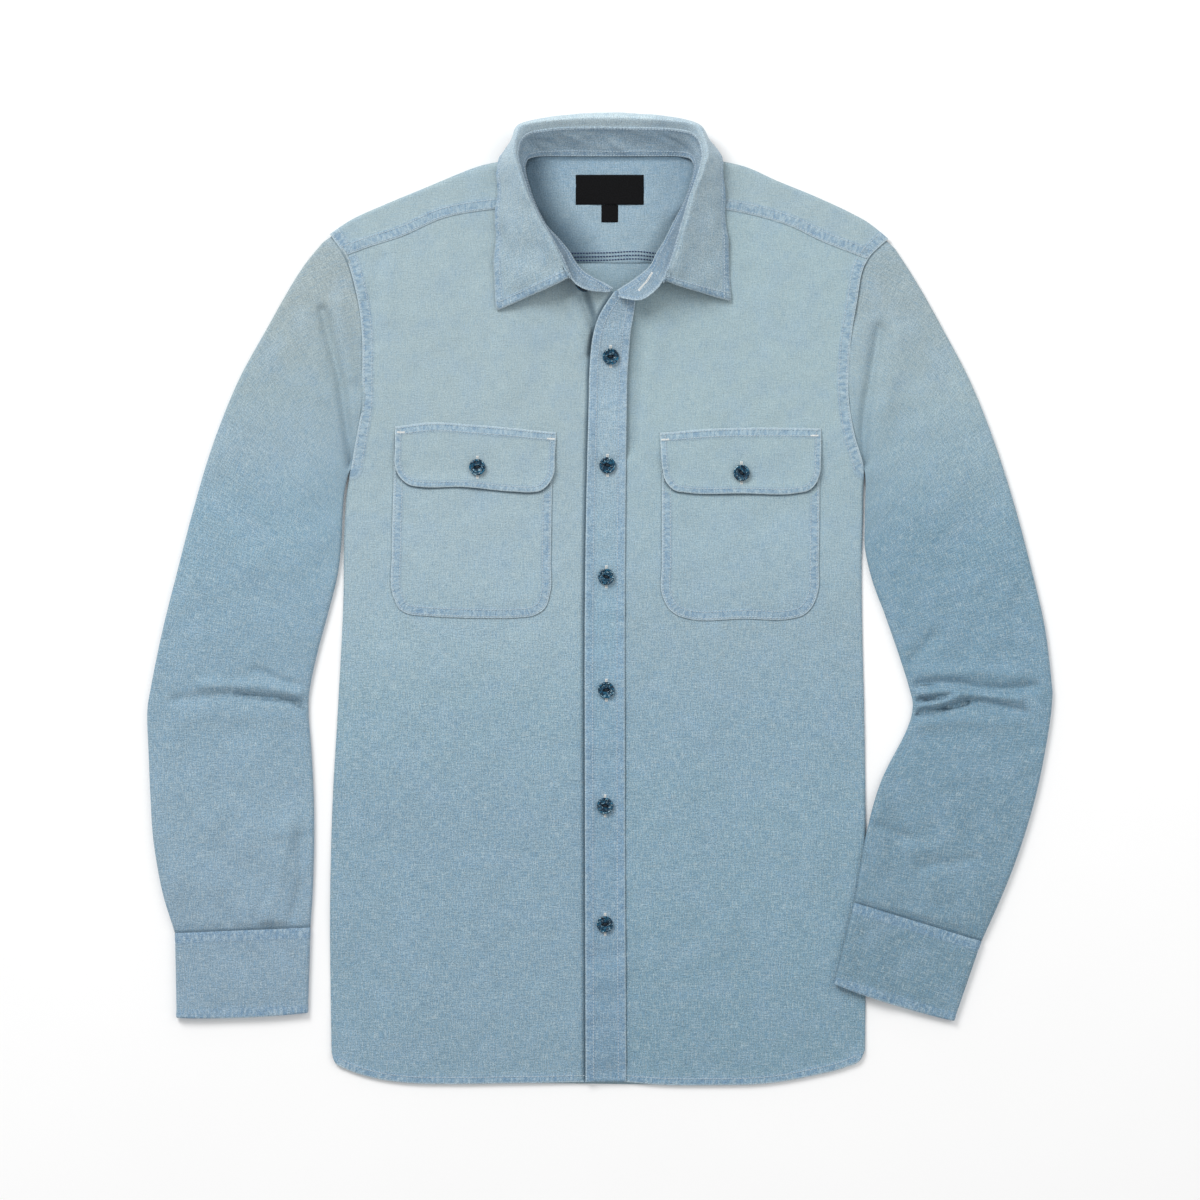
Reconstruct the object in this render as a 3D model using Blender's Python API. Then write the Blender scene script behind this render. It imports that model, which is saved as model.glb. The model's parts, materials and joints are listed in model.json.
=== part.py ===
"""Chambray work shirt, laid flat on a table with its front up.

Frame: +X to the wearer's left, +Y from the hem towards the collar, +Z up from the table.
Sizes below are millimetres. Every cut piece of cloth is a sheet of points, rows by columns,
that is the side one sees, and a wall of cloth lies under it.
"""

import math
from collections import namedtuple

import bpy
import numpy as np

MM = 0.001

# ---------------------------------------------------------------- driving sizes
WALL = 1.2  # a panel of cloth with its seams
THICK_WALL = 1.8  # stand, collar and cuffs, which hold an interlining
PLACKET_WALL = 2.0  # the folded buttonhole band
LABEL_WALL = 1.0
GAP = 0.35  # between pieces that are sewn or lie on each other
SEAM = 0.85  # between the armhole and the sleeve, where both edges curve
YOKE_SEAM = 0.6  # between the yoke and the fronts
ON_BODY = 0.5  # between the body's side and the sleeve that lies on it

LOWEST_FRONT = WALL + GAP + WALL  # a front that lies on the back
CROWN = 3.2  # how far the fronts stand off the back in the middle
HALF_CHEST = 211.0
NECK_RISE = 5.5  # how far the collar lifts the fronts
NECK_RISE_REACH = 38.0
SIDE_TURN = 2.6  # the fronts turn down round the back's edge over this width
EDGE_OFF_TABLE = 0.5
BACK_INSET = 2.3  # so the back's edge lies inside that turn
CROWN_FADES = (60.0, 130.0)  # above these heights y the crown runs out to the shoulders
CROWN_HEM, FOLDS_HEM = 70.0, 90.0  # the crown and the folds start this far up from the hem
SIDE_TURN_ENDS = (88.0, 104.0)  # the sides turn down below the underarm, between these y
PLACKET_RISE = 1.1  # the left front rises by this to the buttonhole band
PLACKET_RISE_REACH = 11.0
PLACKET_SEAM_X = 20.0

HEM_Y = -388.0
YOKE_BACK_Y = 274.4  # seam between yoke and back
NECK_BACK_Y = 356.0  # the yoke's edge under the stand at the back of the neck
NECK_TUCK = 6.0  # how far the yoke's neck end slants in below the shoulder fold
NECK_CORNER = (2.8, 4.0)  # the yoke's edge goes out and up with the stand at the neck's corners
NECK_TURN = 0.06  # the neck's corners turn within this share of its width

SLEEVE_EDGE_HIGH = 5.4  # height of a sleeve at its folded edges, and in its middle
SLEEVE_HIGH = 6.6
CUFF_HIGH = 6.0

BUTTON_ACROSS = 13.0
BUTTON_HIGH = 3.0
LABEL_SIZE = (54.5, 24.0)
LABEL_TAB_SIZE = (13.5, 14.0)
LABEL_AT = (7.8, 328.0)

# ---------------------------------------------------------------- colours, sRGB
CHAMBRAY = (0.60, 0.70, 0.75)
CHAMBRAY_DEEP = (0.54, 0.65, 0.72)
BUTTON_BLUE = (0.10, 0.22, 0.29)
LABEL_BLACK = (0.09, 0.09, 0.09)

# ---------------------------------------------------------------- outlines
# Each outline is a row of places (x, y) that a smooth curve runs through.
RIGHT_ARMHOLE = (
    (-216.0, 292.5), (-204.0, 275.0), (-196.0, 250.5), (-190.5, 216.0),
    (-190.0, 182.5), (-190.5, 155.0), (-194.5, 131.0), (-199.0, 105.0),
)
RIGHT_SIDE = (
    (-202.5, 87.0), (-204.5, 60.0), (-205.5, -1.0), (-209.5, -81.0), (-214.0, -160.0),
    (-216.0, -241.0), (-215.5, -320.0), (-214.8, -362.0),
)
LEFT_ARMHOLE = (
    (230.5, 289.0), (214.0, 272.5), (205.0, 236.0), (199.5, 196.0),
    (198.5, 167.5), (202.0, 139.0), (211.5, 105.0),
)
LEFT_SIDE = (
    (210.5, 79.0), (209.5, 31.0), (210.0, -25.0), (211.5, -90.0), (212.5, -160.0),
    (212.5, -241.0), (212.5, -321.0), (212.0, -360.0),
)
RIGHT_HEM = (
    (-214.8, -362.0), (-211.0, -371.0), (-202.0, -375.5), (-174.5, -383.5),
    (-155.0, -386.0), (-122.0, -387.0), (-76.5, -386.5), (15.0, -385.0),
)
LEFT_HEM = (
    (212.0, -360.0), (207.0, -369.0), (196.5, -373.5), (169.0, -380.5), (138.0, -386.0),
    (86.0, -388.0), (46.5, -387.5), (21.0, -385.0),
)
RIGHT_YOKE_SEAM = ((-204.0, 275.0), (-183.5, 282.5), (-160.0, 290.0), (-124.0, 305.5),
                   (-85.5, 312.0), (-52.0, 314.0))
LEFT_YOKE_SEAM = ((214.0, 272.5), (175.5, 287.5), (154.0, 298.0), (132.5, 305.0),
                  (101.5, 311.5), (67.5, 314.0))
# The shoulders' folded edges, from the armhole to under the collar.
RIGHT_SHOULDER = ((-216.0, 292.5), (-200.5, 303.0), (-172.5, 316.0), (-141.0, 329.0),
                  (-111.0, 341.5), (-95.0, 347.5), (-84.0, 350.0), (-59.0, 351.5))
LEFT_SHOULDER = ((230.5, 289.0), (212.5, 303.0), (200.5, 309.5), (172.5, 322.5),
                 (142.0, 335.0), (113.0, 347.5), (100.0, 350.5), (74.0, 351.5))
# The buttonhole band: its free edge and its seam, from the neck to the hem.
PLACKET_EDGE = ((11.0, 245.5), (3.5, 234.5), (-1.0, 226.5), (-4.5, 216.0), (-7.0, 201.5),
                (-8.5, 181.0), (-9.0, 159.0), (-11.0, 79.0), (-12.0, -1.0), (-12.0, -177.0),
                (-11.5, -385.0))
PLACKET_SEAM = ((27.0, 256.0), (28.0, 248.0), (28.3, 239.0), (26.8, 227.0), (24.5, 213.5),
                (23.5, 201.5), (22.0, 181.0), (21.5, 159.0), (20.5, 79.0), (20.0, -1.0),
                (20.0, -177.0), (21.0, -385.0))
BUTTON_STRIP_EDGE = ((14.0, 238.0), (14.5, 200.0), (14.0, 80.0), (13.5, -100.0), (15.0, -385.0))

# The band that the collar stands on, one row for each section from its button end round
# the back of the neck to its buttonhole end. It rises from its seam (x, y) to its upper
# edge (top_x, top_y, top_z). on_front is 1 where it is sewn to a front or to the top of
# the yoke and 0 where it is sewn to the yoke on the table; under is what lies between.
StandRow = namedtuple("StandRow", "x y top_x top_y top_z on_front under")
STAND = (
    StandRow(10.0, 248.3, 8.8, 246.6, 14.0, 1.0, 0.0),
    StandRow(5.5, 252.0, 1.0, 245.8, 19.0, 1.0, 0.0),
    StandRow(-3.0, 256.5, -8.0, 247.0, 25.0, 1.0, 0.0),
    StandRow(-12.0, 262.0, -16.5, 250.5, 29.0, 1.0, 0.0),
    StandRow(-18.5, 269.0, -22.5, 256.5, 31.0, 1.0, 0.0),
    StandRow(-24.0, 278.0, -30.0, 273.0, 33.0, 1.0, 0.0),
    StandRow(-33.0, 289.0, -38.5, 289.0, 34.0, 1.0, 0.0),
    StandRow(-43.0, 300.0, -46.5, 303.0, 34.5, 1.0, 0.0),
    StandRow(-52.0, 318.0, -54.5, 320.0, 34.5, 1.0, 0.0),
    StandRow(-57.5, 335.0, -60.5, 337.0, 33.5, 1.0, 0.0),
    StandRow(-59.5, 345.0, -65.0, 352.0, 32.0, 1.0, 0.0),
    StandRow(-58.6, 349.0, -65.0, 358.0, 30.7, 0.97, 0.0),
    StandRow(-56.0, 352.6, -63.0, 365.5, 28.6, 0.5, 0.0),
    StandRow(-46.0, 354.5, -55.0, 372.5, 25.0, 0.0, 0.0),
    StandRow(-25.0, 354.5, -30.0, 376.0, 22.5, 0.0, 0.0),
    StandRow(8.0, 354.5, 8.0, 376.5, 21.5, 0.0, 0.0),
    StandRow(40.0, 354.5, 45.0, 376.0, 22.5, 0.0, 0.0),
    StandRow(61.0, 354.5, 70.0, 373.0, 25.0, 0.0, 0.0),
    StandRow(71.0, 352.6, 78.5, 366.0, 28.6, 0.5, 0.0),
    StandRow(73.8, 349.0, 80.7, 358.0, 30.7, 0.97, 0.0),
    StandRow(75.0, 345.0, 81.0, 352.0, 32.0, 1.0, 0.0),
    StandRow(73.0, 335.0, 77.0, 337.0, 33.5, 1.0, 0.3),
    StandRow(67.0, 318.0, 70.5, 319.5, 34.5, 1.0, 0.3),
    StandRow(58.5, 302.0, 65.0, 300.5, 34.5, 1.0, 0.3),
    StandRow(51.0, 287.0, 60.0, 281.0, 34.0, 1.0, 0.4),
    StandRow(45.0, 277.5, 54.5, 264.0, 33.0, 1.0, 0.6),
    StandRow(40.5, 268.0, 49.0, 253.5, 31.5, 1.0, 0.9),
    StandRow(34.0, 261.5, 43.0, 246.0, 30.5, 1.0, 1.6),
    StandRow(26.0, 255.5, 33.0, 239.5, 29.0, 1.0, 2.6),
    StandRow(19.0, 251.0, 23.0, 240.0, 26.5, 1.0, 2.6),
    StandRow(13.5, 247.3, 14.5, 242.5, 20.0, 1.0, 2.6),
)
FIRST_WITH_LEAF, LAST_WITH_LEAF = 4, 26

# The collar's leaf, one row for each section of the stand that carries it: the top of its
# roll, its outer edge, and how far the fall between them bellies out.
LeafRow = namedtuple("LeafRow", "roll_x roll_y roll_z edge_x edge_y edge_z belly")
LEAF = (
    LeafRow(-25.0, 256.0, 33.0, -83.0, 231.0, 8.6, 1.0),
    LeafRow(-33.0, 273.0, 36.5, -84.3, 249.0, 8.6, 1.5),
    LeafRow(-42.0, 290.0, 37.5, -84.5, 268.0, 9.0, 2.0),
    LeafRow(-50.0, 303.5, 38.0, -84.3, 287.0, 9.6, 2.5),
    LeafRow(-58.5, 321.0, 38.0, -83.6, 308.0, 10.4, 2.5),
    LeafRow(-64.5, 338.0, 37.0, -82.8, 330.0, 12.0, 2.0),
    LeafRow(-69.0, 352.5, 35.0, -81.0, 349.5, 13.0, 1.5),
    LeafRow(-69.2, 359.5, 33.9, -78.0, 356.5, 9.5, 1.5),
    LeafRow(-67.0, 368.5, 32.0, -71.5, 365.0, 5.0, 1.7),
    LeafRow(-61.0, 378.0, 30.0, -61.0, 375.5, 2.6, 4.0),
    LeafRow(-31.5, 382.5, 28.0, -31.0, 376.0, 1.6, 7.0),
    LeafRow(8.0, 384.0, 27.0, 8.0, 376.5, 1.6, 8.0),
    LeafRow(48.0, 382.5, 28.0, 47.0, 376.0, 1.6, 7.0),
    LeafRow(76.0, 378.0, 30.0, 76.0, 375.5, 2.6, 4.0),
    LeafRow(83.0, 368.5, 32.0, 88.0, 365.0, 5.0, 1.7),
    LeafRow(85.5, 359.5, 33.9, 95.0, 356.5, 9.5, 1.5),
    LeafRow(86.0, 352.5, 35.0, 98.0, 349.5, 13.0, 1.5),
    LeafRow(81.5, 338.0, 37.0, 99.3, 331.0, 12.0, 2.0),
    LeafRow(75.0, 320.0, 38.0, 100.5, 312.0, 10.4, 2.5),
    LeafRow(69.5, 301.0, 38.0, 102.0, 294.0, 9.6, 2.5),
    LeafRow(64.0, 282.0, 37.5, 103.2, 275.0, 9.0, 2.0),
    LeafRow(58.0, 265.0, 36.5, 104.2, 257.0, 8.6, 1.5),
    LeafRow(51.5, 253.5, 33.5, 104.6, 238.6, 8.6, 1.0),
)

# A sleeve, one row for each section from the armhole to the cuff: the place of its outer
# fold and of its inner fold.
SleeveRow = namedtuple("SleeveRow", "outer_x outer_y inner_x inner_y")
RIGHT_SLEEVE = (
    SleeveRow(-216.0, 292.5, -199.0, 105.0),
    SleeveRow(-240.0, 262.5, -202.6, 95.0),
    SleeveRow(-267.5, 215.0, -204.8, 82.5),
    SleeveRow(-290.0, 173.5, -206.0, 65.0),
    SleeveRow(-310.0, 123.0, -207.0, 43.0),
    SleeveRow(-325.0, 73.0, -210.0, 19.0),
    SleeveRow(-338.0, 23.0, -217.0, -9.0),
    SleeveRow(-350.0, -25.0, -226.0, -42.5),
    SleeveRow(-359.0, -69.0, -232.0, -71.0),
    SleeveRow(-362.0, -90.5, -233.0, -90.5),
    SleeveRow(-361.0, -121.0, -231.0, -117.0),
    SleeveRow(-359.5, -157.0, -229.0, -153.0),
    SleeveRow(-357.0, -193.0, -228.5, -189.0),
    SleeveRow(-350.0, -233.0, -229.5, -229.0),
    SleeveRow(-340.0, -265.8, -231.5, -261.3),
)
LEFT_SLEEVE = (
    SleeveRow(230.5, 289.0, 211.5, 105.0),
    SleeveRow(252.5, 255.0, 212.4, 93.0),
    SleeveRow(275.0, 215.0, 212.0, 79.0),
    SleeveRow(296.5, 173.5, 211.6, 60.0),
    SleeveRow(315.0, 127.0, 212.0, 40.0),
    SleeveRow(331.0, 77.0, 218.0, 14.5),
    SleeveRow(344.5, 26.5, 227.5, -11.0),
    SleeveRow(355.5, -21.0, 239.0, -44.0),
    SleeveRow(361.0, -65.0, 247.0, -69.5),
    SleeveRow(361.5, -81.0, 250.0, -85.5),
    SleeveRow(358.0, -109.0, 244.5, -105.5),
    SleeveRow(349.0, -154.5, 225.0, -144.0),
    SleeveRow(336.5, -197.0, 214.0, -181.0),
    SleeveRow(322.0, -235.0, 207.5, -217.0),
    SleeveRow(305.2, -272.4, 203.5, -241.2),
)
ARMHOLE_SHOWS_TO = 5.0  # row by which a section no longer follows the armhole's curve
SLEEVE_SECTIONS = (0, 0.35, 0.8, 1.4, 2, 3, 4, 5, 6, 6.7, 7.3, 7.7, 8.0, 8.35, 8.7, 9.0,
                   9.3, 9.6, 10.0, 10.5, 11.2, 12, 13, 14)

# A cuff: its four corners, seam side first, the outer fold before the inner one.
CuffShape = namedtuple("CuffShape", "seam_outer seam_inner end_outer end_inner")
RIGHT_CUFF = CuffShape((-339.8, -266.3), (-231.3, -261.8), (-338.5, -334.0), (-233.5, -330.0))
LEFT_CUFF = CuffShape((304.9, -272.9), (203.2, -241.7), (283.0, -336.5), (187.0, -307.0))
CUFF_BOW = 2.0  # how far a cuff's seam and end curve

# The largest folds: a ridge, or a trough where height is negative, along a line from
# (x, y) to (to_x, to_y), with a half width.
Fold = namedtuple("Fold", "x y to_x to_y height width")
BODY_FOLDS = (
    Fold(-128.0, -60.0, -150.0, -350.0, 0.9, 26.0),
    Fold(-70.0, -120.0, -60.0, -330.0, -0.8, 24.0),
    Fold(110.0, -90.0, 122.0, -360.0, -0.9, 26.0),
    Fold(165.0, 30.0, 172.0, -200.0, 0.8, 22.0),
)
RIGHT_SLEEVE_FOLDS = (
    Fold(-222.0, 231.0, -207.0, 172.0, -1.6, 8.0),
    Fold(-207.0, 172.0, -200.0, 112.0, -1.4, 7.0),
    Fold(-340.0, -80.0, -297.0, -76.0, -1.6, 6.0),
    Fold(-297.0, -76.0, -236.0, -84.0, -2.2, 6.0),
    Fold(-332.0, -62.0, -242.0, -60.0, 1.5, 8.0),
    Fold(-274.0, -57.0, -236.0, -71.0, -1.6, 4.0),
    Fold(-340.0, -97.0, -242.0, -102.0, 1.4, 8.0),
    Fold(-262.0, -215.0, -246.0, -252.0, -0.8, 5.0),
)
LEFT_SLEEVE_FOLDS = (
    Fold(223.0, 217.0, 211.0, 146.0, -1.6, 8.0),
    Fold(211.0, 146.0, 211.0, 112.0, -1.4, 7.0),
    Fold(254.0, -90.0, 296.0, -83.0, -2.6, 5.0),
    Fold(296.0, -83.0, 340.0, -91.0, -2.2, 6.0),
    Fold(258.0, -101.0, 335.0, -101.0, 1.9, 8.0),
    Fold(262.0, -79.0, 302.0, -75.0, 1.4, 5.0),
    Fold(254.0, -69.0, 300.0, -69.0, -1.6, 4.0),
    Fold(300.0, -72.0, 350.0, -69.0, -1.6, 5.0),
    Fold(264.0, -57.0, 338.0, -57.0, 1.5, 8.0),
)
# The left sleeve's lower end lies on the body's side: it is lifted as far out as
# LIFT_FULL_X and is down on the table by LIFT_DONE_X.
LIFT_FULL_X, LIFT_DONE_X = 220.0, 242.0
LIFT_FROM_Y, LIFT_FULL_Y = -105.0, -165.0

# A patch pocket and its flap: outlines as places (x, y), clockwise from the upper left.
# Each edge is a short row of places, and a corner belongs to both edges that meet there.
PocketShape = namedtuple("PocketShape", "left right top bottom")
RIGHT_POCKET = PocketShape(
    left=((-164.5, 131.5), (-165.0, 95.0), (-166.3, 39.5), (-165.0, 2.0), (-160.5, -7.0)),
    right=((-37.5, 127.0), (-38.5, 79.5), (-39.3, 30.0), (-40.0, 8.0), (-45.0, -1.5)),
    top=((-164.5, 131.5), (-100.0, 132.0), (-37.5, 127.0)),
    bottom=((-160.5, -7.0), (-151.0, -11.8), (-146.5, -12.2), (-96.0, -14.6), (-60.0, -13.4),
            (-53.5, -12.0), (-45.0, -1.5)),
)
LEFT_POCKET = PocketShape(
    left=((49.5, 125.0), (49.5, 95.0), (49.5, 30.0), (50.0, 3.0), (56.0, -8.0)),
    right=((175.0, 128.0), (175.5, 85.7), (174.8, 30.0), (174.0, 6.0), (169.0, -6.0)),
    top=((49.5, 125.0), (112.0, 129.0), (175.0, 128.0)),
    bottom=((56.0, -8.0), (65.0, -13.6), (69.0, -14.7), (115.0, -15.0), (155.0, -14.5),
            (162.0, -12.5), (169.0, -6.0)),
)
RIGHT_FLAP = PocketShape(
    left=((-163.7, 138.6), (-163.9, 120.0), (-163.9, 107.0), (-160.5, 99.0)),
    right=((-34.7, 134.0), (-36.0, 115.0), (-37.0, 100.0), (-42.0, 91.5)),
    top=((-163.7, 138.6), (-135.8, 141.9), (-100.0, 140.0), (-34.7, 134.0)),
    bottom=((-160.5, 99.0), (-152.0, 91.7), (-145.0, 90.5), (-109.0, 90.2), (-69.4, 86.5),
            (-52.2, 86.2), (-48.0, 87.0), (-42.0, 91.5)),
)
LEFT_FLAP = PocketShape(
    left=((47.7, 133.5), (48.6, 120.0), (49.5, 106.6), (53.0, 94.0)),
    right=((176.9, 137.1), (176.5, 115.0), (175.2, 99.0), (171.0, 91.0)),
    top=((47.7, 133.5), (93.6, 137.1), (140.0, 137.8), (176.9, 137.1)),
    bottom=((53.0, 94.0), (60.0, 87.2), (68.0, 85.8), (113.2, 85.1), (160.0, 85.7),
            (166.0, 87.0), (171.0, 91.0)),
)
FLAP_STEP = 5.5  # a flap climbs on to its pocket over this distance from its seam

FRONT_BUTTONS = ((8.5, 194.5), (6.0, 107.5), (5.0, 18.5), (5.0, -72.0), (4.0, -164.5),
                 (4.0, -259.0))
RIGHT_FLAP_BUTTON = (-98.0, 106.0)
LEFT_FLAP_BUTTON = (113.0, 101.5)
COLLAR_BUTTON = (2.6, 0.6)  # its section of the stand, and its share of the stand's height


# ---------------------------------------------------------------- curves and heights
def smooth(points, where, knots=None):
    """Places on the smooth curve through the points, at shares of its length or at knots."""
    points = np.asarray(points, float)
    if knots is None:
        steps = np.linalg.norm(np.diff(points[:, :2], axis=0), axis=1)
        knots = np.concatenate([[0.0], np.cumsum(steps)]) / steps.sum()
    where = np.atleast_1d(np.asarray(where, float))
    slopes = np.gradient(points, knots, axis=0)
    at = np.clip(np.searchsorted(knots, where, side="right") - 1, 0, len(knots) - 2)
    length = (knots[at + 1] - knots[at])[:, None]
    t = (where[:, None] - knots[at][:, None]) / length
    return (
        (2 * t**3 - 3 * t**2 + 1) * points[at]
        + (t**3 - 2 * t**2 + t) * length * slopes[at]
        + (3 * t**2 - 2 * t**3) * points[at + 1]
        + (t**3 - t**2) * length * slopes[at + 1]
    )


def ease(low, high, value):
    """0 below low, 1 above high, and a soft step between."""
    t = np.clip((value - low) / (high - low), 0.0, 1.0)
    return t * t * (3 - 2 * t)


def folded(folds, x, y):
    """The sum of the folds at (x, y): each fades with the distance from its line."""
    total = np.zeros_like(x)
    for fold in folds:
        along_x, along_y = fold.to_x - fold.x, fold.to_y - fold.y
        share = ((x - fold.x) * along_x + (y - fold.y) * along_y) / (along_x**2 + along_y**2)
        share = np.clip(share, 0.0, 1.0)
        off = np.hypot(x - fold.x - share * along_x, y - fold.y - share * along_y)
        total = total + fold.height * np.exp(-((off / fold.width) ** 2))
    return total


FRONT_NECK = smooth([(r.x, r.y) for r in STAND if r.on_front == 1.0], np.linspace(0, 1, 40))


def front_top(x, y):
    """Height of the outer side of the fronts and of the yoke over the shoulders."""
    beside = ((np.abs(x) / HALF_CHEST) ** 4) * (1 - ease(*CROWN_FADES, y))
    crown = CROWN * np.clip(1 - beside, 0.0, 1.0) * ease(HEM_Y, HEM_Y + CROWN_HEM, y)
    off = np.hypot(x[..., None] - FRONT_NECK[:, 0], y[..., None] - FRONT_NECK[:, 1]).min(axis=-1)
    neck = NECK_RISE * np.exp(-((off / NECK_RISE_REACH) ** 2))
    folds = folded(BODY_FOLDS, x, y) * ease(HEM_Y, HEM_Y + FOLDS_HEM, y)
    return LOWEST_FRONT + crown + neck + folds


def patch(left, right, top, bottom, columns, rows):
    """A net of places between four outlines that meet at its corners (a Coons patch)."""
    u = np.asarray(columns)[None, :, None]
    v = np.asarray(rows)[:, None, None]
    left, right = smooth(left, rows)[:, None], smooth(right, rows)[:, None]
    top, bottom = smooth(top, columns)[None], smooth(bottom, columns)[None]
    corners = (
        (1 - u) * (1 - v) * top[:, :1]
        + u * (1 - v) * top[:, -1:]
        + (1 - u) * v * bottom[:, :1]
        + u * v * bottom[:, -1:]
    )
    return (1 - u) * left + u * right + (1 - v) * top + v * bottom - corners


def raised(net, height):
    """The places of a net with their heights added as z."""
    return np.concatenate([net, np.broadcast_to(height, net.shape[:2])[..., None]], axis=2)


# ---------------------------------------------------------------- objects
def finish(obj, colour, roughness=0.9):
    material = bpy.data.materials.new(obj.name)
    material.use_nodes = True
    shader = material.node_tree.nodes["Principled BSDF"]
    shader.inputs["Base Color"].default_value = (*[c**2.2 for c in colour], 1.0)
    shader.inputs["Roughness"].default_value = roughness
    shader.inputs["Metallic"].default_value = 0.0
    obj.data.materials.append(material)
    obj.data.shade_smooth()


def net_faces(rows, columns, first=0, closed=False):
    """Four-cornered faces between the neighbours of a net whose points are numbered by rows."""
    across = columns if closed else columns - 1
    return [
        (
            first + i * columns + j,
            first + i * columns + (j + 1) % columns,
            first + (i + 1) * columns + (j + 1) % columns,
            first + (i + 1) * columns + j,
        )
        for i in range(rows - 1)
        for j in range(across)
    ]


def cloth(name, nets, wall, colour=CHAMBRAY, closed=False, flip=False):
    """One piece of cloth: nets of points on its outer side, joined where they meet, and a wall."""
    points, faces = [], []
    for net in nets:
        rows, columns = net.shape[:2]
        faces += net_faces(rows, columns, len(points), closed)
        points += [tuple(p * MM) for p in net.reshape(-1, 3)]
    if flip:
        faces = [face[::-1] for face in faces]
    mesh = bpy.data.meshes.new(name)
    mesh.from_pydata(points, [], faces)
    obj = bpy.data.objects.new(name, mesh)
    bpy.context.scene.collection.objects.link(obj)
    if len(nets) > 1:
        weld = obj.modifiers.new("Joined", "WELD")
        weld.merge_threshold = 0.00002
    solid = obj.modifiers.new("Wall", "SOLIDIFY")
    solid.thickness = wall * MM
    solid.offset = -1.0
    finish(obj, colour)
    return obj


def shares(count):
    return np.linspace(0.0, 1.0, count)


# ---------------------------------------------------------------- body
def side_shares(width):
    """Columns across a front from its side: close together where it turns down."""
    turn = [0.0, 0.4, SIDE_TURN]
    return np.array([d / width for d in turn] + list(np.linspace(0.08, 1.0, 11)))


FRONT_ROWS = np.concatenate([np.linspace(0.0, 0.27, 12), np.linspace(0.32, 1.0, 12)])


def armhole_and_side(armhole, side, from_y, inset=0.0):
    """The outer edge of a panel: the armhole's own curve below from_y, then the side."""
    curve = smooth(armhole, shares(61))
    curve = curve[curve[:, 1] < from_y][::3]
    start = smooth(armhole, np.interp(from_y, *crossing(armhole)))
    lower = [(x + inset, y) for x, y in side]
    return np.vstack([start, curve[1:], lower])


def crossing(armhole):
    """The heights y along an armhole, upwards, and the share of its length at each."""
    share = shares(61)
    y = smooth(armhole, share)[:, 1]
    return y[::-1], share[::-1]


def front_net(armhole, side, neck_and_edge, yoke_seam, hem):
    outer = armhole_and_side(armhole, side, yoke_seam[0][1])
    return patch(outer, neck_and_edge, yoke_seam, hem, side_shares(200.0), FRONT_ROWS)


def turned_down(net, height):
    """The height with the side edge turned down to the table below the underarm."""
    from_edge = np.linalg.norm(net - net[:, :1], axis=2)
    turn = np.sqrt(np.clip(1 - (1 - np.clip(from_edge / SIDE_TURN, 0, 1)) ** 2, 0, 1))
    below = 1 - ease(*SIDE_TURN_ENDS, net[:, :1, 1])
    return EDGE_OFF_TABLE + (height - EDGE_OFF_TABLE) * (1 - below * (1 - turn))


def neck_of(rows, seam_end):
    """The neck edge of a front: the stand's seam line from the yoke's seam down."""
    return (seam_end, *[(r.x, r.y) for r in rows])


def build_fronts():
    neck = neck_of(STAND[7:0:-1], RIGHT_YOKE_SEAM[-1])
    net = front_net(
        RIGHT_ARMHOLE, RIGHT_SIDE, neck + BUTTON_STRIP_EDGE, RIGHT_YOKE_SEAM, RIGHT_HEM
    )
    height = turned_down(net, front_top(net[..., 0], net[..., 1]))
    cloth("front_right", [raised(net, height)], WALL, flip=True)

    neck = neck_of(STAND[23:28], LEFT_YOKE_SEAM[-1])
    seam = tuple((x + GAP, y) for x, y in PLACKET_SEAM)
    corner = ((seam[0][0] + 1.2, seam[0][1] + 2.0), (seam[0][0] + 0.6, seam[0][1] - 1.5))
    net = front_net(LEFT_ARMHOLE, LEFT_SIDE, neck + corner + seam[1:], LEFT_YOKE_SEAM, LEFT_HEM)
    height = turned_down(net, left_front_top(net[..., 0], net[..., 1]))
    cloth("front_left", [raised(net, height)], WALL)


def left_front_top(x, y):
    """The left front rises a little to the buttonhole band that it is sewn to."""
    from_seam = np.clip(x - PLACKET_SEAM_X, 0.0, None)
    return front_top(x, y) + PLACKET_RISE * np.exp(-((from_seam / PLACKET_RISE_REACH) ** 2))


def placket_top(x, y):
    return front_top(x, y) + GAP + PLACKET_WALL


def build_placket():
    top = (PLACKET_EDGE[0], (19.0, 250.5), PLACKET_SEAM[0])
    bottom = (PLACKET_EDGE[-1], PLACKET_SEAM[-1])
    rows = np.concatenate([np.linspace(0, 0.2, 10), np.linspace(0.26, 1.0, 12)])
    net = patch(PLACKET_EDGE, PLACKET_SEAM, top, bottom, shares(4), rows)
    height = placket_top(net[..., 0], net[..., 1])
    cloth("front_placket", [raised(net, height)], PLACKET_WALL, CHAMBRAY_DEEP, flip=True)


def build_back():
    top_y = YOKE_BACK_Y - GAP
    right = armhole_and_side(RIGHT_ARMHOLE, RIGHT_SIDE, top_y, BACK_INSET)
    left = armhole_and_side(LEFT_ARMHOLE, LEFT_SIDE, top_y, -BACK_INSET)
    top = (right[0], (0.0, top_y), left[0])
    (right_x, right_y), (left_x, left_y) = RIGHT_HEM[1], LEFT_HEM[1]
    right_turn = (right_x + BACK_INSET / 2, right_y)
    left_turn = (left_x - BACK_INSET / 2, left_y)
    hem = np.vstack([
        right[-1:], right_turn, RIGHT_HEM[2:-1], LEFT_HEM[:1:-1], left_turn, left[-1:],
    ])
    rows = np.concatenate([np.linspace(0.0, 0.27, 11), np.linspace(0.34, 1.0, 9)])
    net = patch(right, left, top, hem, shares(7), rows)
    cloth("back", [raised(net, WALL)], WALL, flip=True)


# ---------------------------------------------------------------- yoke
FOLD_ANGLES = np.radians([90, 55, 18, -18, -55, -90])


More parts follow.
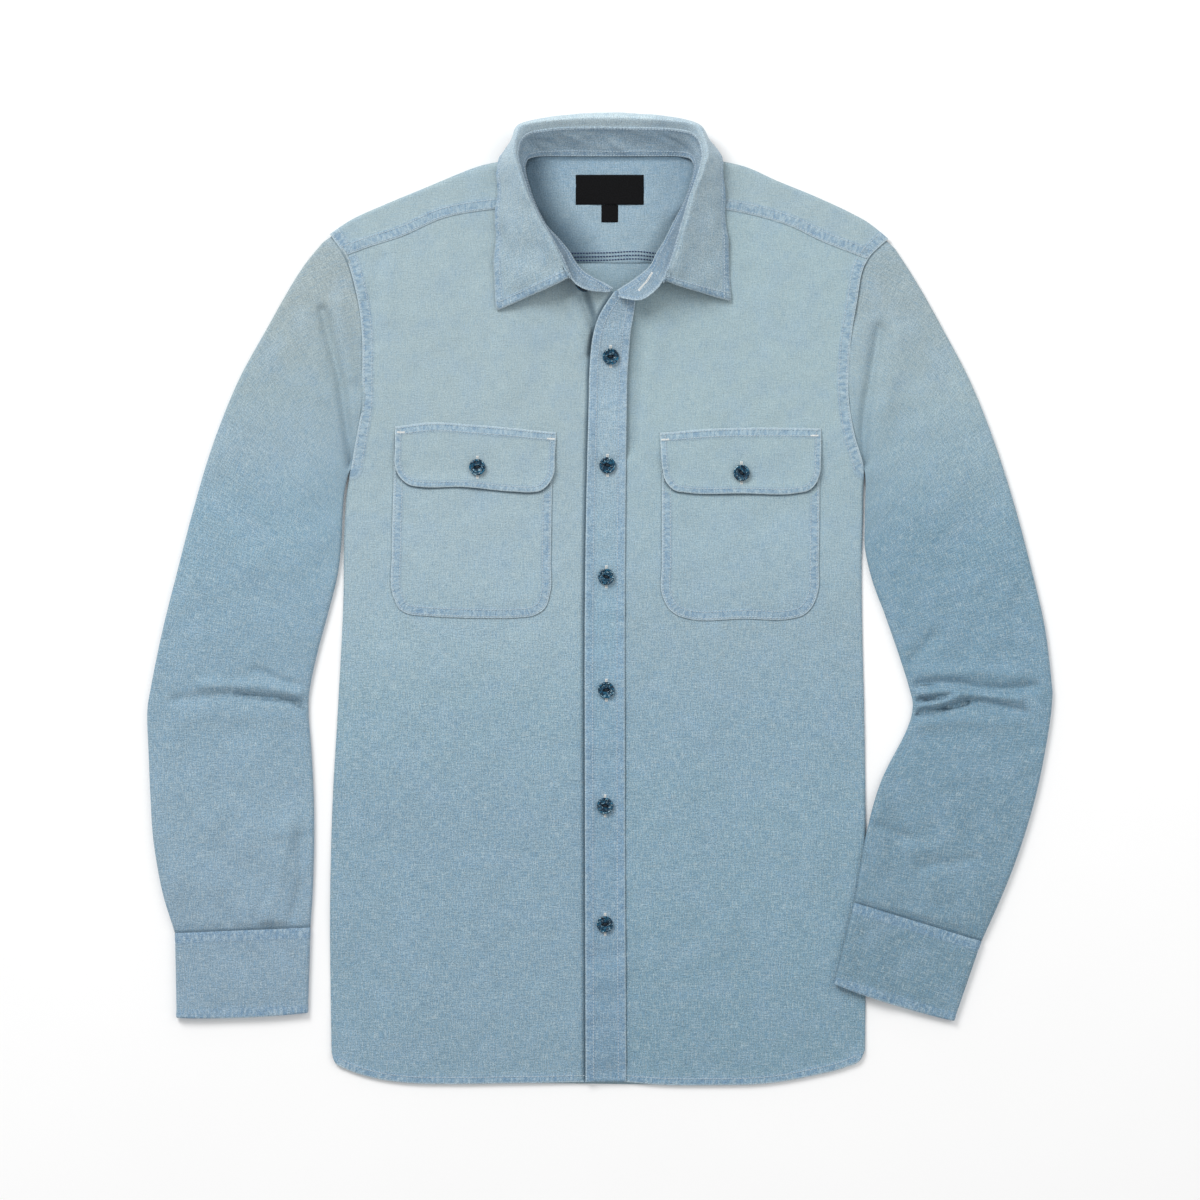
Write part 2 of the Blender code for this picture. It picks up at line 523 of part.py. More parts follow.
def shoulder_net(seam, shoulder, armhole, back_ends, columns):
    """A shoulder of the yoke: up the front to the fold, round it and back on the table."""
    seam, fold = smooth(seam, columns) + (0.0, YOKE_SEAM), smooth(shoulder, columns)
    back = np.stack([np.interp(columns, (0, 1), back_ends), np.full(len(columns), YOKE_BACK_Y)], 1)
    over = fold - seam
    reach = np.linalg.norm(over, axis=1)[:, None]
    over = over / reach
    high = front_top(fold[:, 0], fold[:, 1])[:, None]
    radius = high / 2
    centre = fold - over * radius
    rows = []
    for share in (0.0, 0.35, 0.7):
        place = seam + (centre - seam) * share
        rows.append(np.hstack([place, front_top(place[:, 0], place[:, 1])[:, None]]))
    for angle in FOLD_ANGLES:
        place = centre + over * radius * math.cos(angle)
        rows.append(np.hstack([place, radius * (1 + math.sin(angle))]))
    for share in (0.25, 0.5, 0.75, 1.0):
        place = centre + (back - centre) * share
        rows.append(np.hstack([place, np.zeros((len(place), 1))]))
    net = np.stack(rows)
    tuck = NECK_TUCK * (1 - net[..., 2] / high[:, 0]) * ease(0.7, 1.0, columns)
    net[..., 0] -= np.sign(back_ends[1]) * tuck
    heights, along = crossing(armhole)
    net[:, 0, 0] = smooth(armhole, np.interp(net[:, 0, 1], heights, along))[:, 0]
    return net


def build_yoke():
    columns = shares(9)
    right = shoulder_net(
        RIGHT_YOKE_SEAM, RIGHT_SHOULDER, RIGHT_ARMHOLE, (-204.0, -59.0), columns
    )
    left = shoulder_net(
        LEFT_YOKE_SEAM, LEFT_SHOULDER, LEFT_ARMHOLE, (214.0, 74.0), columns
    )
    lowest = 3 + len(FOLD_ANGLES) - 1
    from_right, from_left = right[lowest:, -1], left[lowest:, -1]
    across = np.array([0.0, 0.012, NECK_TURN, 0.3, 0.5, 0.7, 1 - NECK_TURN, 0.988, 1.0])
    middle = from_right[:, None] * (1 - across)[None, :, None]
    middle = middle + from_left[:, None] * across[None, :, None]
    from_corner = np.minimum(across, 1 - across) / NECK_TURN
    rise = np.sqrt(1 - (1 - np.minimum(1, from_corner)) ** 2)
    rise = rise * (NECK_BACK_Y - middle[0, :, 1])
    middle[0, :, 1] += rise
    middle[1, :, 1] += rise * 0.4
    out, up = NECK_CORNER
    middle[0, 1] += (-out, 0.0, up)
    middle[0, -2] += (out, 0.0, up)
    nets = [right, left[:, ::-1], middle]
    cloth("yoke", nets, WALL, CHAMBRAY_DEEP)


# ---------------------------------------------------------------- sleeves and cuffs
def lift(x, y):
    """How far the left sleeve and its cuff are raised to lie on the body's side."""
    on_body = front_top(np.minimum(x, HALF_CHEST + 1), y) + ON_BODY
    along = 1 - ease(LIFT_FULL_Y, LIFT_FROM_Y, y)
    return on_body * (1 - ease(LIFT_FULL_X, LIFT_DONE_X, x)) * along


EDGE_ANGLES = np.radians([90, 45, 0, -45, -90])


def ring(width, edge_high, over, under):
    """Places round a flattened tube, as (distance from the outer fold, share of the height)."""
    radius = edge_high / 2
    turn = [(radius * (1 - math.cos(a)), (1 + math.sin(a)) / 2) for a in EDGE_ANGLES]
    top = [(d, 1.0) for d in np.linspace(radius, width - radius, over + 2)[1:-1]]
    low = [(d, 0.0) for d in np.linspace(width - radius, radius, under + 2)[1:-1]]
    outer = [(d, level) for d, level in turn[::-1]]
    inner = [(width - d, level) for d, level in turn]
    return np.array(outer + top + inner + low)


def sleeve_net(table, armhole, outward, folds, base):
    """A sleeve: rings between its two folds, the first of which follows the armhole."""
    knots = np.arange(len(table))
    edges = smooth(table, SLEEVE_SECTIONS, knots)
    straight = np.linspace(armhole[0], armhole[-1], 2)
    rings = []
    for row, (section, edge) in enumerate(zip(SLEEVE_SECTIONS, edges)):
        outer, inner = edge[:2], edge[2:]
        width = np.linalg.norm(inner - outer)
        around = ring(width, SLEEVE_EDGE_HIGH, 12, 4)
        share = around[:, 0] / width
        place = outer + (inner - outer) * share[:, None]
        bend = max(0.0, 1 - section / ARMHOLE_SHOWS_TO) ** 2
        curve = smooth(armhole, share) - (straight[0] + (straight[1] - straight[0]) * share[:, None])
        place = place + bend * curve
        place[:, 0] += outward * SEAM * max(0.0, 1 - section)
        x, y = place[:, 0], place[:, 1]
        puff = SLEEVE_EDGE_HIGH + (SLEEVE_HIGH - SLEEVE_EDGE_HIGH) * (1 - (2 * share - 1) ** 4)
        at_armhole = 1 - ease(0.0, 1.6, section)
        high = puff * (1 - at_armhole) + front_top(x, y) * at_armhole
        fade = ease(0.0, 6.0, np.minimum(around[:, 0], width - around[:, 0]))
        high = high + folded(folds, x, y) * fade
        z = base(x, y) + around[:, 1] * high
        rings.append(np.column_stack([place, z]))
    return np.stack(rings)


def on_table(x, y):
    return np.zeros_like(x)


def build_sleeves():
    net = sleeve_net(RIGHT_SLEEVE, RIGHT_ARMHOLE, -1, RIGHT_SLEEVE_FOLDS, on_table)
    cloth("sleeve_right", [net], WALL, closed=True, flip=True)
    net = sleeve_net(LEFT_SLEEVE, LEFT_ARMHOLE, 1, LEFT_SLEEVE_FOLDS, lift)
    cloth("sleeve_left", [net], WALL, closed=True)


def build_cuff(name, shape, base, flip):
    """A cuff: four rings from the seam to its end, with its long sides slightly bowed."""
    seam_outer, seam_inner, end_outer, end_inner = (np.array(p) for p in shape)
    down = (end_outer - seam_outer) / np.linalg.norm(end_outer - seam_outer)
    rings = []
    for share in shares(4):
        outer = seam_outer + (end_outer - seam_outer) * share
        inner = seam_inner + (end_inner - seam_inner) * share
        width = np.linalg.norm(inner - outer)
        around = ring(width, CUFF_HIGH, 6, 5)
        part = around[:, :1] / width
        place = outer + (inner - outer) * part + down * CUFF_BOW * 4 * part * (1 - part) * share
        z = base(place[:, 0], place[:, 1]) + around[:, 1] * CUFF_HIGH
        rings.append(np.column_stack([place, z]))
    cloth(name, [np.stack(rings)], THICK_WALL, CHAMBRAY_DEEP, closed=True, flip=flip)


# ---------------------------------------------------------------- collar
def stand_edges():
    """The stand's seam line and upper edge as rows of (x, y, z), one for each section."""
    rows = np.array(STAND)
    lower, upper = rows[:, :2], rows[:, 2:5]
    run = np.linalg.norm(upper[:, :2] - lower, axis=1)
    on_front = rows[:, 5]
    seat = on_front * (front_top(lower[:, 0], lower[:, 1]) + rows[:, 6]) + (1 - on_front) * WALL
    lean = run / np.hypot(run, upper[:, 2] - seat)
    z = seat + GAP + THICK_WALL * lean
    return np.column_stack([lower, z]), upper


STAND_SECTIONS = np.linspace(0, len(STAND) - 1, 50)


def build_stand():
    lower, upper = stand_edges()
    knots = np.arange(len(STAND))
    lower, upper = smooth(lower, STAND_SECTIONS, knots), smooth(upper, STAND_SECTIONS, knots)
    net = np.stack([lower + (upper - lower) * share for share in (0.0, 0.5, 1.0)])
    cloth("collar_stand", [net], THICK_WALL, CHAMBRAY_DEEP)


LEAF_SECTIONS = np.linspace(FIRST_WITH_LEAF, LAST_WITH_LEAF, 37)


def build_leaf():
    """The leaf: from the stand's upper edge over the roll and down to its outer edge."""
    lower, upper = stand_edges()
    knots = np.arange(len(STAND))
    seam = smooth(upper, LEAF_SECTIONS, knots)
    below = smooth(lower, LEAF_SECTIONS, knots)
    onward = (seam - below) / np.linalg.norm(seam - below, axis=1)[:, None]
    start = seam + onward * GAP
    rows = smooth(LEAF, LEAF_SECTIONS, knots[FIRST_WITH_LEAF:LAST_WITH_LEAF + 1])
    roll, edge, belly = rows[:, 0:3], rows[:, 3:6], rows[:, 6:7]
    away = np.hstack([roll[:, :2] - (8.0, 300.0), np.zeros((len(roll), 1))])
    away = away / np.linalg.norm(away, axis=1)[:, None]
    path = [start, start + onward * 1.5, roll]
    for share in (0.2, 0.45, 0.72, 1.0):
        fall = roll + (edge - roll) * share
        path.append(fall + away * belly * 4 * share * (1 - share))
    rounded = smooth_across(np.stack(path), np.array([0, 1.0, 1.5, 2.0, 2.5, 3.0, 4.0, 5.0, 6.0]))
    cloth("collar", [rounded], THICK_WALL, CHAMBRAY_DEEP)


def smooth_across(path, where):
    """Smooths every section of a net at once, its rows being the knots."""
    rows, columns = path.shape[:2]
    flat = smooth(path.reshape(rows, -1), where, np.arange(rows))
    return flat.reshape(len(where), columns, 3)


# ---------------------------------------------------------------- pockets and flaps
def pocket_net(shape, columns, rows):
    return patch(shape.left, shape.right, shape.top, shape.bottom, columns, rows)


def corner_shares(count):
    """Shares that lie closer together towards both ends, where the corners are round."""
    even = np.linspace(-1.0, 1.0, count)
    return (1 + np.sign(even) * np.abs(even) ** 0.75) / 2


def build_pocket(name, shape, surface, flip):
    net = pocket_net(shape, corner_shares(9), corner_shares(9))
    height = surface(net[..., 0], net[..., 1]) + GAP + WALL
    cloth(name, [raised(net, height)], WALL, flip=flip)


def build_flap(name, shape, surface, flip):
    net = pocket_net(shape, corner_shares(9), np.array([0, 0.12, 0.2, 0.28, 0.55, 0.8, 1.0]))
    from_seam = np.linalg.norm(net - net[:1], axis=2)
    on_pocket = (WALL + GAP) * ease(0.0, FLAP_STEP, from_seam)
    height = surface(net[..., 0], net[..., 1]) + GAP + WALL + on_pocket
    cloth(name, [raised(net, height)], WALL, CHAMBRAY_DEEP, flip=flip)


# ---------------------------------------------------------------- buttons and labels
BUTTON_PROFILE = ((0.0, 0.62), (0.45, 0.64), (0.7, 0.97), (0.9, 0.95), (1.0, 0.55),
                  (0.75, 0.0), (0.0, 0.0))
BUTTON_SIDES = 16


FLAT = np.eye(3)


def build_button(name, seat, axes=FLAT):
    """A turned button that stands on its seat: profile places are shares of its sizes."""
    radius = BUTTON_ACROSS / 2
    points, faces = [], []
    rings = BUTTON_PROFILE[1:-1]
    for share, level in rings:
        for side in range(BUTTON_SIDES):
            turn = 2 * math.pi * side / BUTTON_SIDES
            x, y = share * radius * math.cos(turn), share * radius * math.sin(turn)
            points.append((x, y, level * BUTTON_HIGH))
    faces += net_faces(len(rings), BUTTON_SIDES, 0, closed=True)
    for (share, level), first in ((BUTTON_PROFILE[0], 0), (BUTTON_PROFILE[-1], len(rings) - 1)):
        pole = len(points)
        points.append((0.0, 0.0, level * BUTTON_HIGH))
        for side in range(BUTTON_SIDES):
            a = first * BUTTON_SIDES + side
            b = first * BUTTON_SIDES + (side + 1) % BUTTON_SIDES
            faces.append((a, b, pole) if first == 0 else (b, a, pole))
    placed = [tuple(p) for p in (np.array(points) @ axes + seat) * MM]
    mesh = bpy.data.meshes.new(name)
    mesh.from_pydata(placed, [], [face if len(face) == 3 else face[::-1] for face in faces])
    obj = bpy.data.objects.new(name, mesh)
    bpy.context.scene.collection.objects.link(obj)
    finish(obj, BUTTON_BLUE, roughness=0.25)


def seat_on(surface, place, between=0.0):
    """A button's seat: clear of the surface's highest place under its rim and centre."""
    turn = np.radians(np.arange(0, 360, 45))
    x = np.append(place[0] + 0.5 * BUTTON_ACROSS * np.cos(turn), place[0])
    y = np.append(place[1] + 0.5 * BUTTON_ACROSS * np.sin(turn), place[1])
    return np.array([*place, float(surface(x, y).max()) + between + GAP])


def build_buttons():
    for number, place in enumerate(FRONT_BUTTONS, start=1):
        build_button(f"button_front_{number}", seat_on(placket_top, place))
    flap_and_pocket = 2 * (GAP + WALL)
    right = seat_on(front_top, RIGHT_FLAP_BUTTON, flap_and_pocket)
    left = seat_on(left_front_top, LEFT_FLAP_BUTTON, flap_and_pocket)
    build_button("button_flap_right", right)
    build_button("button_flap_left", left)


def build_collar_button():
    """The collar's button, sewn to the outer side of the stand's button end."""
    section, share = COLLAR_BUTTON
    lower, upper = stand_edges()
    where, knots = (section - 0.3, section, section + 0.3), np.arange(len(STAND))
    lower, upper = smooth(lower, where, knots), smooth(upper, where, knots)
    line = lower + (upper - lower) * share
    along = line[2] - line[0]
    along = along / np.linalg.norm(along)
    outward = np.cross(along, upper[1] - lower[1])
    outward = outward * -np.sign(outward[2]) / np.linalg.norm(outward)
    axes = np.stack([along, np.cross(outward, along), outward])
    build_button("button_collar", line[1] + outward * (THICK_WALL + GAP), axes)


def build_label():
    """The neck label and its small tab, both blank, sewn to the yoke below the collar."""
    x, y = LABEL_AT
    wide, high = LABEL_SIZE
    left, right = x - wide / 2, x + wide / 2
    low, top = y - high / 2, y + high / 2
    for name, box in (
        ("label", (left, right, low, top)),
        (
            "label_tab",
            (
                x - LABEL_TAB_SIZE[0] / 2,
                x + LABEL_TAB_SIZE[0] / 2,
                low - GAP - LABEL_TAB_SIZE[1],
                low - GAP,
            ),
        ),
    ):
        net = np.array([[(box[0], box[3]), (box[1], box[3])], [(box[0], box[2]), (box[1], box[2])]])
        height = WALL + GAP + LABEL_WALL
        cloth(name, [raised(net, height)], LABEL_WALL, LABEL_BLACK, flip=True)


def main():
    for obj in list(bpy.data.objects):
        bpy.data.objects.remove(obj, do_unlink=True)
    build_back()
    build_yoke()
    build_fronts()
    build_placket()
    build_stand()
    build_leaf()
    build_sleeves()
    build_cuff("cuff_right", RIGHT_CUFF, on_table, flip=True)
    build_cuff("cuff_left", LEFT_CUFF, lift, flip=False)
    build_pocket("pocket_right", RIGHT_POCKET, front_top, flip=True)
    build_pocket("pocket_left", LEFT_POCKET, left_front_top, flip=True)
    build_flap("flap_right", RIGHT_FLAP, front_top, flip=True)
    build_flap("flap_left", LEFT_FLAP, left_front_top, flip=True)
    build_buttons()
    build_collar_button()
    build_label()


main()
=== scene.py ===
# %% [markdown]
# # A chambray work shirt, laid flat
#
# Chambray is a plain weave with a blue warp and a pale weft, so it looks blue from far off and
# crossed by fine streaks from close by. This shirt is washed and dip dyed: pale at the shoulders,
# bluer at the hem. It lies on a table, so every panel is a surface of heights over the table.
# The lesson builds each cut piece as a grid of points, gives it creases, seams and stitches,
# and then the finish of its cloth.
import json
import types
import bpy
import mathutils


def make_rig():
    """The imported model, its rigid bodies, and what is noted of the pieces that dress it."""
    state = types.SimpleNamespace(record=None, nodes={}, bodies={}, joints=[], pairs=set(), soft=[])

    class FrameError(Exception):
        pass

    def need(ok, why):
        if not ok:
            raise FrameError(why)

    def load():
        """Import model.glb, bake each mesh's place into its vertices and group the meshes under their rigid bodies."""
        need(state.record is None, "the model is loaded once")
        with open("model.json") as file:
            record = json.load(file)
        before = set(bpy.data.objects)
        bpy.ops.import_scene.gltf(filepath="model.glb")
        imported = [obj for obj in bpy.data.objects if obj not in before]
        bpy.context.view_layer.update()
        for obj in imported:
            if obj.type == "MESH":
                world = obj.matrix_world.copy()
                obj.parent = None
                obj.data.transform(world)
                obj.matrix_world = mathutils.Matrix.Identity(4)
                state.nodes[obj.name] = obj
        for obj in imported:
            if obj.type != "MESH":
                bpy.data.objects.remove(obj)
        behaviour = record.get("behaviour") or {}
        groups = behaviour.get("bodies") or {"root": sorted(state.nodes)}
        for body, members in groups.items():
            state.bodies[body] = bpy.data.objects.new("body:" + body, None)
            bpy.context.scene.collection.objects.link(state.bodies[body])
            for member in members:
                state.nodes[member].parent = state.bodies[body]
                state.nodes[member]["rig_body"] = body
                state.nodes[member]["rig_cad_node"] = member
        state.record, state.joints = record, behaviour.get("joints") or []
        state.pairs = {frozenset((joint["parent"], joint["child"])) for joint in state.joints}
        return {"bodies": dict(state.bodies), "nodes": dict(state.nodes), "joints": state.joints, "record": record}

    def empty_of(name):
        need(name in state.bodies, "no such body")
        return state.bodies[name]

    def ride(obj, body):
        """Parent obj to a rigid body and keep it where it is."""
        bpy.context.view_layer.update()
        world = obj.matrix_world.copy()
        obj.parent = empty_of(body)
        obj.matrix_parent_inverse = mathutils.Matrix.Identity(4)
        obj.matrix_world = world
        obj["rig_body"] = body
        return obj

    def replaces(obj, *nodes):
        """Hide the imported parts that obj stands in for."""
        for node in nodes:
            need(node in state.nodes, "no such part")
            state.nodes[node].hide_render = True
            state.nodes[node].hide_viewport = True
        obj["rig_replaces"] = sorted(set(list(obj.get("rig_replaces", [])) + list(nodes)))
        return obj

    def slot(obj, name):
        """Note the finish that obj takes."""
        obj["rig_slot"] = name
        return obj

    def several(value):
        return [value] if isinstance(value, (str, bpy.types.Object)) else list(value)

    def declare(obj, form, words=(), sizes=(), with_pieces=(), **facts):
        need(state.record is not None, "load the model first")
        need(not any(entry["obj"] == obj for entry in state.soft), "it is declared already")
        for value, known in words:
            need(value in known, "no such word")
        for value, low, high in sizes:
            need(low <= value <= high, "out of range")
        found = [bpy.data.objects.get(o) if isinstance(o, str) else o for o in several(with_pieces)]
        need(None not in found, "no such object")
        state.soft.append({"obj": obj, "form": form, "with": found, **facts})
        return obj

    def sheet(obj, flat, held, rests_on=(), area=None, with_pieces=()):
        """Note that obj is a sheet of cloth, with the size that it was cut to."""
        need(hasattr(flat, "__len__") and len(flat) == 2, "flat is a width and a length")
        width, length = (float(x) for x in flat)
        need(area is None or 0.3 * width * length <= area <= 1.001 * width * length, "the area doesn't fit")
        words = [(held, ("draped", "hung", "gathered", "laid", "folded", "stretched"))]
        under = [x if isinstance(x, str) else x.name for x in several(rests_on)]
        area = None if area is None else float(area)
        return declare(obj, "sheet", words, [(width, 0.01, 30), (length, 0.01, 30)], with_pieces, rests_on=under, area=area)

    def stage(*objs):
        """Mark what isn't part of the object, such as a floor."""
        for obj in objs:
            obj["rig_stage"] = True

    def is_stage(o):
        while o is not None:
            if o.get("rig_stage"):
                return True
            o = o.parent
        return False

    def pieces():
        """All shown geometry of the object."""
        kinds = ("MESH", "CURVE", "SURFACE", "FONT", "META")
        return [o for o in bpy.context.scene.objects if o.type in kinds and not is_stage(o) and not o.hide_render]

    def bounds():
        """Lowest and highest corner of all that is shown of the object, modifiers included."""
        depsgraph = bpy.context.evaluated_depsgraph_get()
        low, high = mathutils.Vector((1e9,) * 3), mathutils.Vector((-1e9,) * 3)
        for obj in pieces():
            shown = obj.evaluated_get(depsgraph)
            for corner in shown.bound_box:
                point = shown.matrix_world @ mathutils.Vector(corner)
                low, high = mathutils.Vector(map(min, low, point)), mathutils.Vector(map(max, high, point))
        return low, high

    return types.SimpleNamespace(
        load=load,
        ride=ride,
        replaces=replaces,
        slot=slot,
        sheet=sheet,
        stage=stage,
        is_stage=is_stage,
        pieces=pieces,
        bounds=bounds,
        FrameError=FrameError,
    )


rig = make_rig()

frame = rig.load()
cad_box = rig.bounds()

import json
import math
from collections import namedtuple

import bpy
import numpy as np
from mathutils.bvhtree import BVHTree

MM = 0.001
print("packed nodes:", len(frame["nodes"]))

# %% [markdown]
# ## Camera, table and light
#
# The shirt is seen straight from above. A long lens keeps the view nearly free of perspective,
# as a product photographer would. The light is a white room with one large soft lamp, so that
# creases show by soft shading and the table stays almost white.

# %% Camera
VIEW_WIDTH = 0.960  # metres of table across the picture
LENS_MM, SENSOR_MM = 200.0, 36.0

camera = bpy.data.objects.new("camera", bpy.data.cameras.new("camera"))
camera.data.lens = LENS_MM
camera.data.sensor_width = SENSOR_MM
camera.data.clip_end = 50.0
camera.location = (0.0, 0.0, VIEW_WIDTH * LENS_MM / SENSOR_MM)
bpy.context.scene.collection.objects.link(camera)
bpy.context.scene.camera = camera
print("camera height:", round(camera.location.z, 3), "m")

# %% Table and light
WORLD_STRENGTH = 0.56
LAMPS = (  # name, place in metres, side in metres, watts
    ("key", (-1.5, 2.15, 2.43), 1.5, 76.0),
    ("fill", (1.5, 0.6, 1.9), 1.6, 11.0),
)
TABLE_SIDE, TABLE_Z = 8.0, -0.0003  # metres; the table lies a hair under the shirt


def srgb(text):
    """Turns an sRGB hex colour into linear values: c / 12.92 below 0.04045, else a power curve."""
    values = np.array([int(text[i:i + 2], 16) for i in (1, 3, 5)]) / 255
    linear = np.where(values <= 0.04045, values / 12.92, ((values + 0.055) / 1.055) ** 2.4)
    return (*linear.tolist(), 1.0)


world = bpy.data.worlds.new("studio")
world.use_nodes = True
world.node_tree.nodes["Background"].inputs["Color"].default_value = srgb("#ffffff")
world.node_tree.nodes["Background"].inputs["Strength"].default_value = WORLD_STRENGTH
bpy.context.scene.world = world
bpy.context.scene.view_settings.view_transform = "Standard"

for lamp_name, place, side, watts in LAMPS:
    lamp = bpy.data.objects.new(lamp_name, bpy.data.lights.new(lamp_name, "AREA"))
    lamp.data.size = side
    lamp.data.energy = watts
    lamp.location = place
    toward = -lamp.location.normalized()
    lamp.rotation_euler = toward.to_track_quat("-Z", "Y").to_euler()
    bpy.context.scene.collection.objects.link(lamp)

half = TABLE_SIDE / 2
table_mesh = bpy.data.meshes.new("table")
corners = [(x, y, TABLE_Z) for x, y in ((-half, -half), (half, -half), (half, half), (-half, half))]
table_mesh.from_pydata(corners, [], [(0, 1, 2, 3)])
table = bpy.data.objects.new("table", table_mesh)
bpy.context.scene.collection.objects.link(table)
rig.stage(table)
print("lamps:", len(LAMPS))

# %% [markdown]
# ## Node helper
#
# Materials are node trees. One helper adds a node, sets what is fixed and links what is fed.

# %% A helper that adds a node
def add(tree, kind, settings=None, links=None):
    """Adds a node. Settings are properties or input values; links feed inputs from outputs."""
    node = tree.nodes.new(kind)
    for key, value in (settings or {}).items():
        if isinstance(key, str) and hasattr(node, key):
            setattr(node, key, value)
        else:
            node.inputs[key].default_value = value
    for key, output in (links or {}).items():
        tree.links.new(output, node.inputs[key])
    return node


def material_of(name, **sockets):
    """A new material with its tree and shader, the shader's own sockets set by name."""
    material = bpy.data.materials.new(name)
    material.use_nodes = True
    shader = material.node_tree.nodes["Principled BSDF"]
    for socket, value in sockets.items():
        shader.inputs[socket.replace("_", " ")].default_value = value
    return material, material.node_tree, shader


def sprayed_board():
    """The table's finish: matte, with a faint mottle."""
    material, tree, shader = material_of("sprayed_board", Roughness=0.9)
    place = add(tree, "ShaderNodeTexCoord").outputs["Object"]
    mottle = add(tree, "ShaderNodeTexNoise", {"Scale": 6.0, "Detail": 3.0}, {"Vector": place})
    shade = add(tree, "ShaderNodeMix", {"data_type": "RGBA", 6: srgb("#fcfcfc"), 7: srgb("#ffffff")},
                {0: mottle.outputs["Fac"]})
    tree.links.new(shade.outputs[2], shader.inputs["Base Color"])
    return material


table.data.materials.append(sprayed_board())
print("table's finish:", table.data.materials[0].name)

# %% [markdown]
# ## The cut of the shirt
#
# Sizes are millimetres, +X towards the wearer's left and +Y towards the collar. Each outline is
# a short row of places that a smooth curve runs through.

# %% Driving sizes
WALL, GAP = 1.2, 0.35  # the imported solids' wall and the gap between them
LOWEST_FRONT = WALL + GAP + WALL
CROWN = 3.2  # how far the fronts stand off the back in the middle
CROWN_FADES_Y = 60.0, 130.0  # between these the crown spreads to the sides, towards the sleeves
HALF_CHEST = 211.0
NECK_RISE, NECK_RISE_REACH = 5.5, 38.0  # how far the collar lifts the fronts
SIDE_TURN = 2.6  # the fronts turn down round the back's edge over this width
TURN_ENDS_Y = 88.0, 104.0  # and stop turning between these, at the underarm
EDGE_OFF_TABLE = 0.5
HEM_Y = -388.0
YOKE_BACK_Y, NECK_BACK_Y = 274.4, 356.0
SLEEVE_EDGE_HIGH, SLEEVE_HIGH, CUFF_HIGH = 5.4, 6.6, 6.0

CLOTH = 0.6  # one layer of washed chambray with its nap
DOUBLED = 1.2  # two layers and an interlining
STEP = 1.5  # spacing of the points of a visible panel
GROOVE = 0.22  # how deep a row of stitches sinks

# %% Outlines
RIGHT_ARMHOLE = (
    (-216, 292.5), (-204, 275), (-196, 250.5), (-190.5, 216),
    (-190, 182.5), (-190.5, 155), (-194.5, 131), (-199, 105),
)
RIGHT_SIDE = (
    (-202.5, 87), (-204.5, 60), (-205.5, -1), (-209.5, -81), (-214, -160),
    (-216, -241), (-215.5, -320), (-214.8, -362),
)
LEFT_ARMHOLE = (
    (230.5, 289), (214, 272.5), (205, 236), (199.5, 196),
    (198.5, 167.5), (202, 139), (211.5, 105),
)
LEFT_SIDE = (
    (210.5, 79), (209.5, 31), (210, -25), (211.5, -90), (212.5, -160),
    (212.5, -241), (212.5, -321), (212, -360),
)
RIGHT_HEM = (
    (-214.8, -362), (-211, -371), (-202, -375.5), (-174.5, -383.5),
    (-155, -386), (-122, -387), (-76.5, -386.5), (15, -385),
)
LEFT_HEM = (
    (212, -360), (207, -369), (196.5, -373.5), (169, -380.5), (138, -386),
    (86, -388), (46.5, -387.5), (16, -385),
)
RIGHT_YOKE_SEAM = ((-204, 275), (-183.5, 282.5), (-160, 290), (-124, 305.5),
                   (-85.5, 312), (-52, 314))
LEFT_YOKE_SEAM = ((214, 272.5), (175.5, 287.5), (154, 298), (132.5, 305),
                  (101.5, 311.5), (67.5, 314))
RIGHT_SHOULDER = ((-216, 292.5), (-200.5, 303), (-172.5, 316), (-141, 329),
                  (-111, 341.5), (-95, 347.5), (-84, 350), (-59, 351.5))
LEFT_SHOULDER = ((230.5, 289), (212.5, 303), (200.5, 309.5), (172.5, 322.5),
                 (142, 335), (113, 347.5), (100, 350.5), (74, 351.5))
PLACKET_EDGE = ((11, 245.5), (3.5, 234.5), (-1, 226.5), (-4.5, 216), (-7, 201.5),
                (-8.5, 181), (-9, 159), (-11, 79), (-12, -1), (-12, -177),
                (-11.5, -385))
PLACKET_SEAM = ((27, 256), (28, 248), (28.3, 239), (26.8, 227), (24.5, 213.5),
                (23.5, 201.5), (22, 181), (21.5, 159), (20.5, 79), (20, -1),
                (20, -177), (21, -385))
BUTTON_STRIP_EDGE = ((14, 238), (14.5, 200), (14, 80), (13.5, -100), (15, -385))

